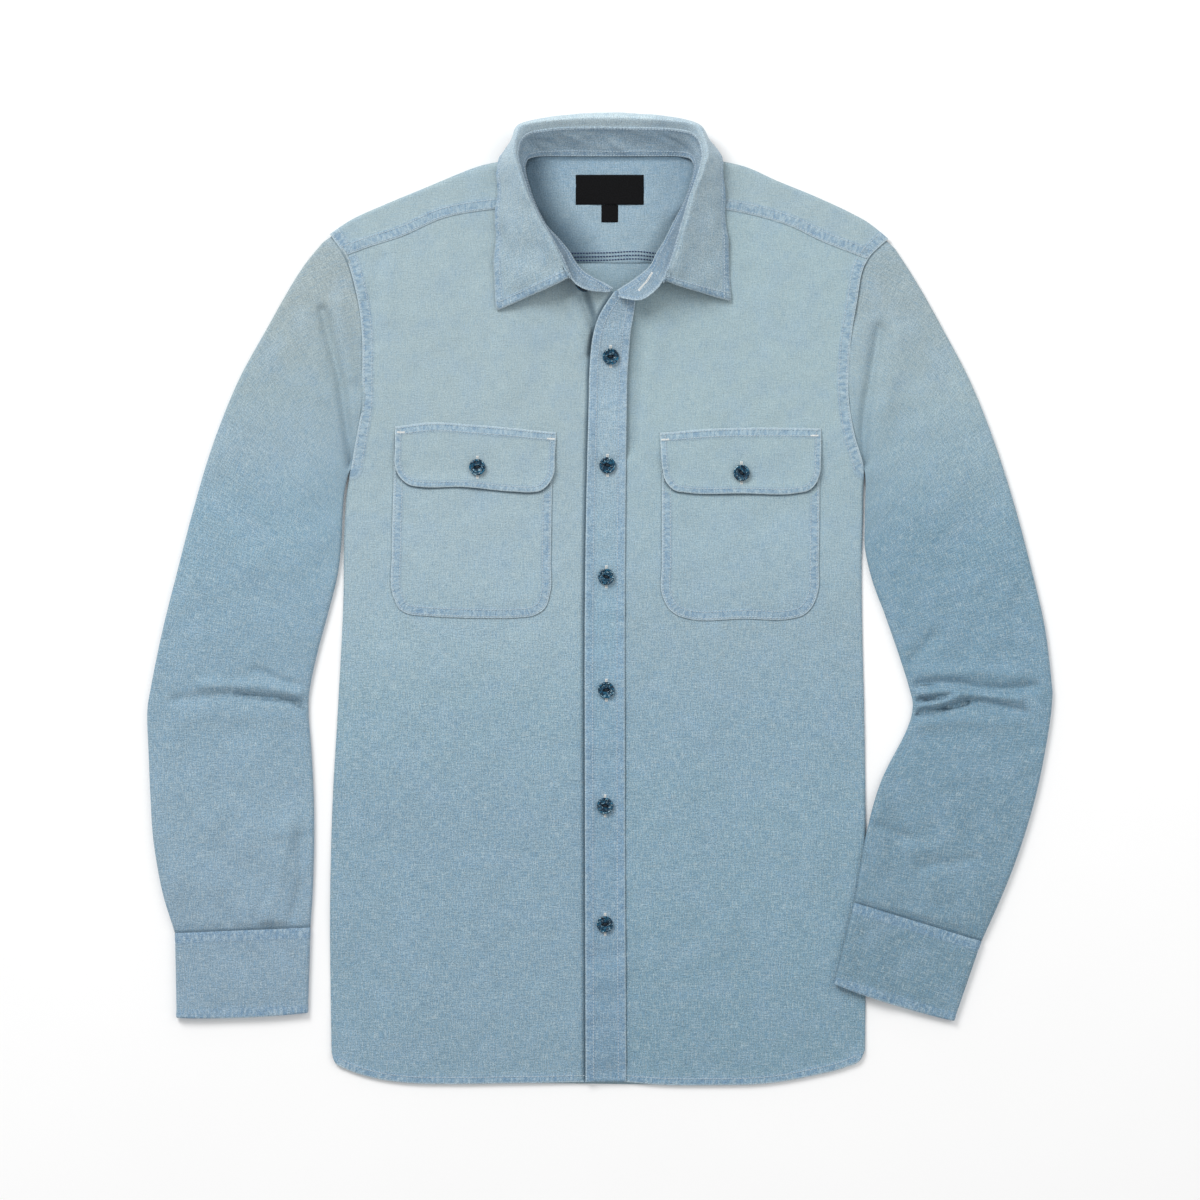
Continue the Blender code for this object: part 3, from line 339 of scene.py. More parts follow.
# %% The collar's tables
StandRow = namedtuple("StandRow", "x y top_x top_y top_z on_front under")
STAND = tuple(StandRow(*row) for row in (
    (10, 248.3, 8.8, 246.6, 14, 1, 0),
    (5.5, 252, 1, 245.8, 19, 1, 0),
    (-3, 256.5, -8, 247, 25, 1, 0),
    (-12, 262, -16.5, 250.5, 29, 1, 0),
    (-18.5, 269, -22.5, 256.5, 31, 1, 0),
    (-24, 278, -30, 273, 33, 1, 0),
    (-33, 289, -38.5, 289, 34, 1, 0),
    (-43, 300, -46.5, 303, 34.5, 1, 0),
    (-52, 318, -54.5, 320, 34.5, 1, 0),
    (-57.5, 335, -60.5, 337, 33.5, 1, 0),
    (-59.5, 345, -65, 352, 32, 1, 0),
    (-58.6, 349, -65, 358, 30.7, 0.97, 0),
    (-56, 352.6, -63, 365.5, 28.6, 0.5, 0),
    (-46, 354.5, -55, 372.5, 25, 0, 0),
    (-25, 354.5, -30, 376, 22.5, 0, 0),
    (8, 354.5, 8, 376.5, 21.5, 0, 0),
    (40, 354.5, 45, 376, 22.5, 0, 0),
    (61, 354.5, 70, 373, 25, 0, 0),
    (71, 352.6, 78.5, 366, 28.6, 0.5, 0),
    (73.8, 349, 80.7, 358, 30.7, 0.97, 0),
    (75, 345, 81, 352, 32, 1, 0),
    (73, 335, 77, 337, 33.5, 1, 0.3),
    (67, 318, 70.5, 319.5, 34.5, 1, 0.3),
    (58.5, 302, 65, 300.5, 34.5, 1, 0.3),
    (51, 287, 60, 281, 34, 1, 0.4),
    (45, 277.5, 54.5, 264, 33, 1, 0.6),
    (40.5, 268, 49, 253.5, 31.5, 1, 0.9),
    (34, 261.5, 43, 246, 30.5, 1, 1.6),
    (26, 255.5, 33, 239.5, 29, 1, 2.6),
    (19, 251, 23, 240, 26.5, 1, 2.6),
    (13.5, 247.3, 14.5, 242.5, 20, 1, 2.6),
))
FIRST_WITH_LEAF, LAST_WITH_LEAF = 4, 26

LeafRow = namedtuple("LeafRow", "roll_x roll_y roll_z edge_x edge_y edge_z belly")
LEAF = tuple(LeafRow(*row) for row in (
    (-25, 256, 33, -83, 231, 8.6, 1),
    (-33, 273, 36.5, -84.3, 249, 8.6, 1.5),
    (-42, 290, 37.5, -84.5, 268, 9, 2),
    (-50, 303.5, 38, -84.3, 287, 9.6, 2.5),
    (-58.5, 321, 38, -83.6, 308, 10.4, 2.5),
    (-64.5, 338, 37, -82.8, 330, 12, 2),
    (-69, 352.5, 35, -81, 349.5, 13, 1.5),
    (-69.2, 359.5, 33.9, -78, 356.5, 9.5, 1.5),
    (-67, 368.5, 32, -71.5, 365, 5, 1.7),
    (-61, 378, 30, -61, 375.5, 2.6, 4),
    (-31.5, 382.5, 28, -31, 376, 1.6, 7),
    (8, 384, 27, 8, 376.5, 1.6, 8),
    (48, 382.5, 28, 47, 376, 1.6, 7),
    (76, 378, 30, 76, 375.5, 2.6, 4),
    (83, 368.5, 32, 88, 365, 5, 1.7),
    (85.5, 359.5, 33.9, 95, 356.5, 9.5, 1.5),
    (86, 352.5, 35, 98, 349.5, 13, 1.5),
    (81.5, 338, 37, 99.3, 331, 12, 2),
    (75, 320, 38, 100.5, 312, 10.4, 2.5),
    (69.5, 301, 38, 102, 294, 9.6, 2.5),
    (64, 282, 37.5, 103.2, 275, 9, 2),
    (58, 265, 36.5, 104.2, 257, 8.6, 1.5),
    (51.5, 253.5, 33.5, 104.6, 238.6, 8.6, 1),
))

# %% The sleeves' tables
SleeveRow = namedtuple("SleeveRow", "outer_x outer_y inner_x inner_y")
RIGHT_SLEEVE = tuple(SleeveRow(*row) for row in (
    (-216, 292.5, -199, 105),
    (-240, 262.5, -202.6, 95),
    (-267.5, 215, -204.8, 82.5),
    (-290, 173.5, -206, 65),
    (-310, 123, -207, 43),
    (-325, 73, -210, 19),
    (-338, 23, -217, -9),
    (-350, -25, -226, -42.5),
    (-359, -69, -232, -71),
    (-362, -90.5, -233, -90.5),
    (-361, -121, -231, -117),
    (-359.5, -157, -229, -153),
    (-357, -193, -228.5, -189),
    (-350, -233, -229.5, -229),
    (-340, -265.8, -231.5, -261.3),
))
LEFT_SLEEVE = tuple(SleeveRow(*row) for row in (
    (230.5, 289, 211.5, 105),
    (252.5, 255, 212.4, 93),
    (275, 215, 212, 79),
    (296.5, 173.5, 211.6, 60),
    (315, 127, 212, 40),
    (331, 77, 218, 14.5),
    (344.5, 26.5, 227.5, -11),
    (355.5, -21, 239, -44),
    (361, -65, 247, -69.5),
    (361.5, -81, 250, -85.5),
    (358, -109, 244.5, -105.5),
    (349, -154.5, 225, -144),
    (336.5, -197, 214, -181),
    (322, -235, 207.5, -217),
    (305.2, -272.4, 203.5, -241.2),
))
CuffShape = namedtuple("CuffShape", "seam_outer seam_inner end_outer end_inner")
RIGHT_CUFF = CuffShape((-339.8, -266.3), (-231.3, -261.8), (-338.5, -334), (-233.5, -330))
LEFT_CUFF = CuffShape((304.9, -272.9), (203.2, -241.7), (283, -336.5), (187, -307))
CUFF_BOW = 2
LIFT_FULL_X, LIFT_DONE_X = 220, 242  # the left sleeve climbs on to the body between these
LIFT_FROM_Y, LIFT_FULL_Y = -105, -165

# %% Pockets, flaps, buttons and labels
PocketShape = namedtuple("PocketShape", "left right top bottom")
RIGHT_POCKET = PocketShape(
    left=((-164.5, 131.5), (-165, 95), (-166.3, 39.5), (-165, 2), (-160.5, -7)),
    right=((-37.5, 127), (-38.5, 79.5), (-39.3, 30), (-39.7, 6), (-44.6, -7.2)),
    top=((-164.5, 131.5), (-100, 132), (-37.5, 127)),
    bottom=((-160.5, -7), (-151, -11.8), (-146.5, -12.2), (-96, -14.6), (-64, -14),
            (-54, -12.8), (-44.6, -7.2)),
)
LEFT_POCKET = PocketShape(
    left=((49.5, 125), (49.5, 95), (49.5, 30), (50, 3), (56, -8)),
    right=((175, 128), (175.5, 85.7), (174.8, 30), (174, 6), (169, -6)),
    top=((49.5, 125), (112, 129), (175, 128)),
    bottom=((56, -8), (65, -13.6), (69, -14.7), (115, -15), (155, -14.5),
            (162, -12.5), (169, -6)),
)
RIGHT_FLAP = PocketShape(
    left=((-163.7, 138.6), (-163.9, 120), (-163.9, 107), (-160.5, 99)),
    right=((-34.7, 134), (-36, 115), (-37, 100), (-42, 91.5)),
    top=((-163.7, 138.6), (-135.8, 141.9), (-100, 140), (-34.7, 134)),
    bottom=((-160.5, 99), (-152, 91.7), (-145, 90.5), (-109, 90.2), (-69.4, 86.5),
            (-52.2, 86.2), (-48, 87), (-42, 91.5)),
)
LEFT_FLAP = PocketShape(
    left=((47.7, 133.5), (48.6, 120), (49.5, 106.6), (53, 94)),
    right=((176.9, 137.1), (176.5, 115), (175.2, 99), (171, 91)),
    top=((47.7, 133.5), (93.6, 137.1), (140, 137.8), (176.9, 137.1)),
    bottom=((53, 94), (60, 87.2), (68, 85.8), (113.2, 85.1), (160, 85.7),
            (166, 87), (171, 91)),
)
FRONT_BUTTONS = ((8.5, 194.5), (6, 107.5), (5, 18.5), (5, -72), (4, -164.5),
                 (4, -259))
RIGHT_FLAP_BUTTON, LEFT_FLAP_BUTTON = (-98, 106), (113, 101.5)
LABEL_AT, LABEL_SIZE, LABEL_TAB_SIZE = (7.8, 328), (54.5, 24), (13.5, 14)
print("outline places:", sum(len(t) for t in (RIGHT_SIDE, LEFT_SIDE, STAND, LEAF, RIGHT_SLEEVE)))

# %% [markdown]
# ## Curves, patches and heights
#
# A panel is a Coons patch: it blends its four outlines so that the grid follows all of them.
# Its height over the table is one function of (x, y), shared by all that lies on the fronts, so
# a pocket follows the creases of the panel under it.

# %% Curves and patches
def run_of(points):
    """The length along a row of points at each of them: the sum of the steps before it."""
    return np.concatenate([[0.0], np.cumsum(np.linalg.norm(np.diff(points, axis=0), axis=1))])


def knots_of(points):
    """The share of a row's length at each of its points."""
    run = run_of(points)
    return run / run[-1]


def unit(vectors):
    """The vectors at length 1."""
    return vectors / np.maximum(np.linalg.norm(vectors, axis=-1, keepdims=True), 1e-9)


def smooth(points, where, knots=None):
    """Cubic Hermite curve through the points: slopes are central differences over the knots."""
    points = np.asarray(points, float)
    if knots is None:
        knots = knots_of(points[:, :2])
    where = np.atleast_1d(np.asarray(where, float))
    slopes = np.gradient(points, knots, axis=0)
    at = np.clip(np.searchsorted(knots, where, side="right") - 1, 0, len(knots) - 2)
    length = (knots[at + 1] - knots[at])[:, None]
    t = (where[:, None] - knots[at][:, None]) / length
    return (
        (2 * t**3 - 3 * t**2 + 1) * points[at]
        + (t**3 - 2 * t**2 + t) * length * slopes[at]
        + (3 * t**2 - 2 * t**3) * points[at + 1]
        + (t**3 - t**2) * length * slopes[at + 1]
    )


def ease(low, high, value):
    """0 below low, 1 above high, and 3t^2 - 2t^3 between."""
    t = np.clip((value - low) / (high - low), 0.0, 1.0)
    return t * t * (3 - 2 * t)


def shares(count):
    """Even shares from 0 to 1."""
    return np.linspace(0.0, 1.0, count)


EDGE_STEP = 0.35  # the first and last step of a panel, which round its edge
COARSE = 4  # the hidden side has one point for this many on the side that is seen
CLEAR = 0.2  # mm that the hidden side keeps from the side that is seen
LEAST_Z = 0.1  # mm over the table, under which the hidden side isn't moved


def spread(length, step=STEP):
    """Shares of a length, even but for a short first and last step, in multiples of COARSE."""
    count = COARSE * max(1, round(length / step / COARSE)) + 1
    inner = np.linspace(EDGE_STEP, length - EDGE_STEP, count - 2)
    return np.concatenate([[0.0], inner, [length]]) / length


def evenly(run, knots, step):
    """The knots at which a line is cut into even steps, given the length run at each knot."""
    return np.interp(spread(run[-1], step) * run[-1], run, knots)


def patch(left, right, top, bottom, columns, rows):
    """Coons patch: (1-u)L + uR + (1-v)T + vB, less the bilinear blend of the corners."""
    u, v = np.asarray(columns)[None, :, None], np.asarray(rows)[:, None, None]
    left, right = smooth(left, rows)[:, None], smooth(right, rows)[:, None]
    top, bottom = smooth(top, columns)[None], smooth(bottom, columns)[None]
    corners = (
        (1 - u) * (1 - v) * top[:, :1]
        + u * (1 - v) * top[:, -1:]
        + (1 - u) * v * bottom[:, :1]
        + u * v * bottom[:, -1:]
    )
    return (1 - u) * left + u * right + (1 - v) * top + v * bottom - corners


# %% Distance from a line
def measure(line, x, y):
    """Distance from a polyline and the length along it, for every place, by nearest segment."""
    start, step = line[:-1], np.diff(line, axis=0)
    length = np.linalg.norm(step, axis=1)
    run = np.concatenate([[0.0], np.cumsum(length)])
    best, along = np.full(x.shape, 1e9), np.zeros(x.shape)
    for (sx, sy), (dx, dy), size, before in zip(start, step, length, run):
        if size == 0:
            continue
        t = np.clip(((x - sx) * dx + (y - sy) * dy) / size**2, 0.0, 1.0)
        off = np.hypot(x - sx - t * dx, y - sy - t * dy)
        nearer = off < best
        best, along = np.where(nearer, off, best), np.where(nearer, before + t * size, along)
    return best, along


# %% Creases and the soft unevenness of cloth
Fold = namedtuple("Fold", "height width line")
BODY_FOLDS = tuple(Fold(*row) for row in (
    (0.9, 26, ((-128, -60), (-150, -350))),
    (-0.8, 24, ((-70, -120), (-60, -330))),
    (-0.9, 26, ((110, -90), (122, -360))),
    (0.8, 22, ((165, 30), (172, -200))),
))
WORN_FOLDS = tuple(Fold(*row) for row in (
    (-4.2, 3.2, ((-14, 242), (-8, 228), (-4.5, 214), (-7.5, 196))),
    (1.8, 5, ((-25, 240), (-17, 222), (-16, 198))),
    (-2.8, 7, ((35, 240), (30, 215), (25, 165), (23, 120))),
    (1.2, 8, ((50, 232), (42, 182))),
    (-1.5, 6, ((-176, 272), (-182, 240), (-181, 205))),
    (1.2, 7, ((-168, 268), (-171, 225))),
    (-1.2, 9, ((120, 262), (128, 205))),
    (0.8, 16, ((-60, 235), (-88, 160))),
    (-0.9, 14, ((-28, 120), (-24, 20), (-34, -60))),
))
RIGHT_SLEEVE_FOLDS = tuple(Fold(*row) for row in (
    (-4.8, 4.2, ((-222, 231), (-207.6, 175), (-198, 107))),
    (2.6, 6.5, ((-210, 236), (-199, 180))),
    (2, 8, ((-238, 226), (-222, 165))),
    (-1.7, 4, ((-342, -80), (-320, -77.6), (-297, -76))),
    (-4.4, 2.8, ((-290, -76), (-276, -77.6), (-248, -80), (-231, -86.4))),
    (3, 4.6, ((-318, -68), (-270, -68.5), (-240, -74))),
    (-2.4, 4, ((-275, -56), (-255, -65), (-232, -71.5))),
    (1.2, 8, ((-330, -93), (-260, -92), (-240, -98))),
    (2.2, 7, ((-247.6, -178), (-268, -250))),
    (-2, 4.5, ((-256, -193), (-262, -225), (-275, -256))),
    (-2, 4.5, ((-240, -190), (-238, -225), (-246, -254))),
    (-1.6, 4, ((-300, -236), (-296, -262))),
))
LEFT_SLEEVE_FOLDS = tuple(Fold(*row) for row in (
    (-4.4, 4.2, ((223.6, 217), (211.5, 150), (211, 110))),
    (2, 6.5, ((212, 222), (204, 170))),
    (2, 8, ((239, 212), (226, 150))),
    (-5.4, 2.8, ((250, -90.5), (269, -88.6), (282.8, -84.8), (294, -81.6))),
    (-3.2, 3, ((299, -81), (308, -81.6), (323.6, -85.6), (340, -89.6))),
    (1.8, 6, ((256, -99), (285, -95), (330, -99))),
    (4, 2.8, ((256, -84.5), (274, -81.5), (286, -77))),
    (-4.2, 2.6, ((250, -80), (262, -79), (280, -75.5))),
    (3.9, 4, ((258, -73.5), (300, -75), (335, -79))),
    (-3.4, 3.8, ((252, -68.5), (271, -66), (287, -66.5), (301, -71), (324, -71.5), (348, -69))),
    (2.4, 6, ((262, -58), (300, -57), (336, -60))),
    (-2, 5.5, ((266, -30), (246, -52))),
    (-1.8, 4, ((222, -180), (246, -190))),
    (-1.8, 5, ((258, -213), (280, -211), (300, -206))),
    (1.5, 6, ((240, -200), (268, -198))),
))
PAINTED_CREASE_SHADE = {  # painted shade in the sharpest creases, where the cloth closes on itself: how dark, and the line
    "right": ((0.6, ((-284, -76.8), (-262, -78.8), (-248, -80), (-231, -86.4))),),
    "left": ((1, ((250, -90.5), (269, -88.6), (282.8, -84.8), (294, -81.6))),
             (0.7, ((250, -80), (262, -79), (276, -76.5)))),
}
WAVES = 18


def folded(folds, x, y):
    """Sum of height * exp(-(d / width)^2), d being the distance from each fold's line."""
    total = np.zeros_like(x)
    for fold in folds:
        off, _ = measure(np.array(fold.line), x, y)
        total = total + fold.height * np.exp(-((off / fold.width) ** 2))
    return total


def uneven(x, y, wavelength, height, seed):
    """Soft random surface: sines of about one wavelength in random directions, summed."""
    rng = np.random.default_rng(seed)
    turn, phase = rng.uniform(0, 2 * math.pi, (2, WAVES))
    pace = 2 * math.pi / (wavelength * rng.uniform(0.7, 1.5, WAVES))
    total = np.zeros_like(x)
    for t, p, k in zip(turn, phase, pace):
        total = total + np.sin(k * (x * math.cos(t) + y * math.sin(t)) + p)
    return height * total / math.sqrt(WAVES / 2)


# %% Heights of the fronts
def places_of(rows):
    """The places (x, y) of the stand's lower edge at some of its sections."""
    return [(row.x, row.y) for row in rows]


FRONT_NECK = smooth(places_of(row for row in STAND if row.on_front == 1.0), shares(60))


def packed_top(x, y):
    """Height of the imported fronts: a crown that runs out at the sides, and a rise at the neck."""
    to_side = ((np.abs(x) / HALF_CHEST) ** 4) * (1 - ease(*CROWN_FADES_Y, y))
    crown = CROWN * np.clip(1 - to_side, 0.0, 1.0) * ease(HEM_Y, HEM_Y + 70.0, y)
    off = np.full(np.shape(x), 1e9)
    for neck_x, neck_y in FRONT_NECK:
        off = np.minimum(off, np.hypot(x - neck_x, y - neck_y))
    neck = NECK_RISE * np.exp(-((off / NECK_RISE_REACH) ** 2))
    return LOWEST_FRONT + crown + neck + folded(BODY_FOLDS, x, y) * ease(HEM_Y, HEM_Y + 90.0, y)


def front_top(x, y):
    """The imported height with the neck's creases and the unevenness of washed cloth."""
    loose = ease(HEM_Y, HEM_Y + 60.0, y)
    soft = uneven(x, y, 95.0, 0.40, 3) + uneven(x, y, 34.0, 0.13, 4) + uneven(x, y, 13.0, 0.035, 5)
    return packed_top(x, y) + loose * soft + folded(WORN_FOLDS, x, y)


print("height over the chest:", round(float(front_top(np.array(100.0), np.array(100.0))), 2), "mm")

# %% [markdown]
# ## Seams
#
# A felled seam is a raised band with two rows of stitches. Washing shrinks the thread more than
# the cloth, so the band puckers; then wear pales the tops of the puckers and the dye stays in
# between. So each seam gives a point its relief in mm, and tells the finish how far along and
# how far off the seam the point lies.

# %% What a seam does to the cloth
Seam = namedtuple("Seam", "line width ridge pucker rows pitch seed")
SEAM_KINDS = {  # mm: the band's width, its ridge, its puckers, its rows of stitches, their pitch
    "armhole": (9.0, 0.40, 0.30, (1.6, 7.6), 4.9),
    "yoke": (9.0, 0.45, 0.32, (1.6, 7.6), 4.9),
    "hem": (6.6, 0.35, 0.12, (5.2,), 4.4),
    "band": (7.2, 0.22, 0.16, (6.3,), 3.6),
    "cuff_top": (10.6, 0.10, 0.20, (9.4,), 4.2),
    "cuff_end": (8.2, 0.22, 0.16, (6.9,), 3.6),
    "stand_low": (6.2, 0.16, 0.20, (1.2, 5.2), 4.0),
    "stand_high": (3.6, 0.12, 0.20, (1.7,), 4.4),
    "leaf": (7.4, 0.20, 0.26, (6.2,), 4.4),
    "pocket": (7.6, 0.30, 0.24, (1.7, 6.8), 4.6),
    "flap_top": (7.4, 0.25, 0.34, (1.6, 6.4), 4.4),
    "flap_edge": (5.2, 0.15, 0.16, (4.2,), 4.2),
}


BAND_EDGE = 0.9  # mm each way over which a band's edge rises
ROW_WIDE = 0.7  # mm: the groove that a row of stitches pulls in
SLOW_WAVE = 37.0  # mm: the pace at which the puckers grow and fade along a seam
FAR_OFF = 30.0  # mm: the distance given to cloth with no seam near
PAINTED_SHADOW_REACH = 3.2  # mm: how far painted shade reaches next to a neighbour's edge


def seam_of(kind, line, seed):
    """A seam of one of these kinds along a line. The seed sets its uneven puckers."""
    return Seam(line, *SEAM_KINDS[kind], seed)


def ripples(along, off, pitch, seed):
    """Uneven waves of one to two pitches along a seam, leaning as a rope's strands do."""
    a, b, c = np.random.default_rng(seed).uniform(0, 2 * math.pi, 3)
    lean = along + 0.25 * off
    slow = np.sin(2 * math.pi * along / SLOW_WAVE + a)
    first = np.sin(2 * math.pi * lean / pitch + 1.4 * slow + b)
    return 0.6 * first + 0.4 * np.sin(2 * math.pi * lean / (1.7 * pitch) + 2.0 * slow + c)


def seam_fields(seams, x, y):
    """What the nearest seam does at each place: relief in mm, and the attribute (length along the
    seam, distance off it, share of band). A seam with a ridge of 0 is painted shade next to a
    neighbour's edge: its band is negative, its pucker says how dark and its pitch how wide."""
    relief, fields, best = np.zeros(x.shape), np.zeros((*x.shape, 3)), np.full(x.shape, -1.0)
    fields[..., 1] = FAR_OFF * MM
    for seam in seams:
        low, high = seam.line.min(0) - 2 * seam.width, seam.line.max(0) + 2 * seam.width
        near = (x > low[0]) & (x < high[0]) & (y > low[1]) & (y < high[1])
        off, along = measure(seam.line, x[near], y[near])
        inside = 1 - ease(seam.width - BAND_EDGE, seam.width + BAND_EDGE, off)
        ripple = ripples(along, off, seam.pitch, seam.seed) * inside * ease(-0.5, 1.6, off)
        rise = seam.ridge * inside + (seam.pucker * ripple if seam.ridge else 0.0)
        for row in seam.rows:
            rise = rise - GROOVE * np.exp(-(((off - row) / ROW_WIDE) ** 2))
        reach, band = (1.0, inside) if seam.ridge else (seam.pitch, -seam.pucker * inside)
        score = inside - off / reach / 100.0
        nearest = (score > best[near]) & (inside > 0)
        values = np.column_stack([along * MM + seam.seed, off / reach * MM, band])
        relief[near] = np.where(nearest, rise, relief[near])
        fields[near] = np.where(nearest[:, None], values, fields[near])
        best[near] = np.where(nearest, score, best[near])
    return relief, fields


# %% [markdown]
# ## From a grid to a piece of cloth
#
# A sheet in the render needs two sides and an edge. The side that is seen is fine; the hidden
# side is the same grid thinned out, moved in along the normals, and a rim joins the two. This
# keeps each piece closed for about half the triangles of a Solidify modifier.

# %% A closed shell from a grid
def normals_of(net, closed=False):
    """Unit normals: the cross product of the differences across and along the grid."""
    along = np.gradient(net, axis=0)
    across = (np.roll(net, -1, 1) - np.roll(net, 1, 1)) / 2 if closed else np.gradient(net, axis=1)
    return unit(np.cross(across, along))


def side_of(net, normal, closed):
    """1 if the normals point to the side that is seen (up, or out of a tube), else -1."""
    if closed:
        return np.sign((normal * (net - net.mean(axis=1, keepdims=True))).sum())
    return np.sign(normal[..., 2].sum())


def pushed_out(net, height, closed=False):
    """The grid moved along its normals, towards the side that is seen."""
    normal = normals_of(net, closed)
    return net + normal * side_of(net, normal, closed) * height[..., None]


def quads(index):
    """Four-cornered faces between the neighbours of a grid of point numbers."""
    corners = (index[:-1, :-1], index[:-1, 1:], index[1:, 1:], index[1:, :-1])
    return np.stack(corners, axis=2).reshape(-1, 4)


def rim(top, low):
    """Faces that join COARSE steps of the fine edge to one step of the coarse edge."""
    start = np.arange(len(low) - 1) * COARSE
    fine = top[start[:, None] + np.arange(COARSE + 1)]
    return np.column_stack([fine, low[1:], low[:-1]])


def kept_under(below, net, normal, closed):
    """Moves the thinned grid in along the normals wherever a straight line between two of its
    points would stand closer than CLEAR mm to the fine grid, as it would across a hollow. It
    never goes under the table."""
    wide = np.hstack([below, below[:, :1]]) if closed else below
    fine = [np.arange(count) for count in net.shape[:2]]
    i, j = (np.minimum(at // COARSE, last - 2) for at, last in zip(fine, wide.shape[:2]))
    u, v = (fine[0] / COARSE - i)[:, None], (fine[1] / COARSE - j)[None]
    corners = [(i[:, None] + a, j[None] + b, (u if a else 1 - u) * (v if b else 1 - v))
               for a in (0, 1) for b in (0, 1)]
    straight = sum(wide[row, column] * share[..., None] for row, column, share in corners)
    above = np.clip(((straight - net) * normal).sum(axis=2) + CLEAR, 0.0, None)
    worst = np.zeros(below.shape[:2])
    for row, column, _ in corners:
        row, column = np.broadcast_arrays(row, column % below.shape[1])
        np.maximum.at(worst, (row, column), above)
    moved = below - normal[::COARSE, ::COARSE] * worst[..., None]
    moved[..., 2] = np.maximum(moved[..., 2], np.minimum(below[..., 2], LEAST_Z))
    return moved


def shell(net, thickness, closed=False):
    """Points and faces of a closed sheet: the grid, the thinned grid below it, and the rims."""
    normal = normals_of(net, closed)
    side = side_of(net, normal, closed)
    normal = normal * side
    top = net.copy()
    top[[0, -1]] -= normal[[0, -1]] * thickness / 2
    if not closed:
        top[:, [0, -1]] -= normal[:, [0, -1]] * thickness / 2
    below = kept_under((net - normal * thickness)[::COARSE, ::COARSE], net, normal, closed)
    upper = np.arange(net[..., 0].size).reshape(net.shape[:2])
    lower = upper.size + np.arange(below[..., 0].size).reshape(below.shape[:2])
    if closed:
        upper, lower = np.hstack([upper, upper[:, :1]]), np.hstack([lower, lower[:, :1]])
    faces = [quads(upper), quads(lower)[:, ::-1], rim(upper[0, ::-1], lower[0, ::-1]),
             rim(upper[-1], lower[-1])]
    if not closed:
        faces += [rim(upper[:, 0], lower[:, 0]), rim(upper[::-1, -1], lower[::-1, -1])]
    if side < 0:
        faces = [part[:, ::-1] for part in faces]
    points = np.vstack([top.reshape(-1, 3), below.reshape(-1, 3)])
    return points, faces


def piece_of(name, points, faces, material, fields=None):
    """A mesh object from points in mm, arrays of faces, and named point attributes."""
    mesh = bpy.data.meshes.new(name)
    mesh.from_pydata((points * MM).tolist(), [], [f for part in faces for f in part.tolist()])
    for key, values in (fields or {}).items():
        attribute = mesh.attributes.new(key, "FLOAT_VECTOR", "POINT")
        attribute.data.foreach_set("vector", np.ascontiguousarray(values, np.float32).ravel())
    mesh.shade_smooth()
    obj = bpy.data.objects.new(name, mesh)
    bpy.context.scene.collection.objects.link(obj)
    obj.data.materials.append(material)
    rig.ride(obj, "root")
    return obj


def cut_size(net, closed=False):
    """The cut's longest width and length and its area in metres, measured on the grid."""
    ring = np.concatenate([net, net[:, :1]], axis=1) if closed else net
    across, along = np.diff(ring, axis=1), np.diff(ring, axis=0)
    width = np.linalg.norm(across, axis=2).sum(axis=1).max()
    length = np.linalg.norm(along, axis=2).sum(axis=0).max()
    area = np.linalg.norm(np.cross(across[:-1], along[:, :-1]), axis=2).sum()
    return (width * MM, length * MM), min(area * MM**2, width * length * MM**2)


declared = []  # every sheet, for the cell that states their flat sizes
sewn = []  # every piece with seams, for the cell that stitches them


def cloth_piece(name, net, thickness, material, slot, rests_on, seams=(), flat=None, closed=False,
                held="laid", turned=False):
    """A piece of cloth. flat is the (x, y) of each point on the cut, in which seams are placed;
    turned has the warp run across."""
    x, y = flat or (net[..., 0], net[..., 1])
    relief, fields = seam_fields(seams, x, y)
    net = pushed_out(net, relief, closed)
    weave = np.stack([*((y, x) if turned else (x, y)), np.zeros_like(x)], axis=2) * MM
    points, faces = shell(net, thickness, closed)
    both = {
        key: np.vstack([values.reshape(-1, 3), values[::COARSE, ::COARSE].reshape(-1, 3)])
        for key, values in (("seam", fields), ("weave", weave))
    }
    obj = piece_of(name, points, faces, material, both)
    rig.slot(obj, slot)
    width_and_length, area = cut_size(net, closed)
    declared.append(dict(obj=obj, flat=width_and_length, held=held, rests_on=rests_on, area=area))
    sewn.append((name, obj, net, np.stack([x, y], axis=2), seams, slot))
    count = sum(len(part) * (part.shape[1] - 2) for part in faces)
    print(f"{name}: cut {width_and_length[0]:.3f} x {width_and_length[1]:.3f} m, {count} triangles")
    return obj, net


# %% [markdown]
# ## The cloth's finish
#
# Washed cotton chambray: matte, with a short nap. Close by one sees the crossed threads, so the
# base colour is broken by long thin streaks both ways: blue ones of warp, pale slubs of weft.
# Real threads lie about 0.35 mm apart, too fine for the picture, so the weave is drawn at about 1 mm.
# The dip dye is a ramp along the shirt's length with a ragged border.

# %% Chambray
PALE_THREAD, BLUE_THREAD, DEEP_THREAD = srgb("#b9c9ce"), srgb("#7299b5"), srgb("#54748c")
ECRU_SLUB, FADED_PATCH = srgb("#c8c2ba"), srgb("#8fabc2")
# PAINTED_SHADE is painted shade: the dark colour next to a neighbour's edge and in the sharpest creases.
BAND_BLUE, WORN, UNWORN, PAINTED_SHADE = srgb("#7f9fbb"), srgb("#c4d4da"), srgb("#5c80a3"), srgb("#3c5566")
DYE_RAGGED = 0.022  # metres by which the border of the dye wanders
DYE_LOW, DYE_HIGH = -0.4, 0.4  # metres: the heights y at the two ends of the colour ramp
THREAD_WIDE, THREAD_LONG = 0.95, 8.0  # mm: a drawn thread and how far its colour holds
SLUB_WIDE, SLUB_LONG, BLUE_SLUB_LONG = 1.1, 16.0, 18.0
MOTTLE = 0.95  # mm: the specks where single threads cross
WORN_EDGE = 0.0014, 0.0003  # metres off a seam: where its worn edge starts and is full


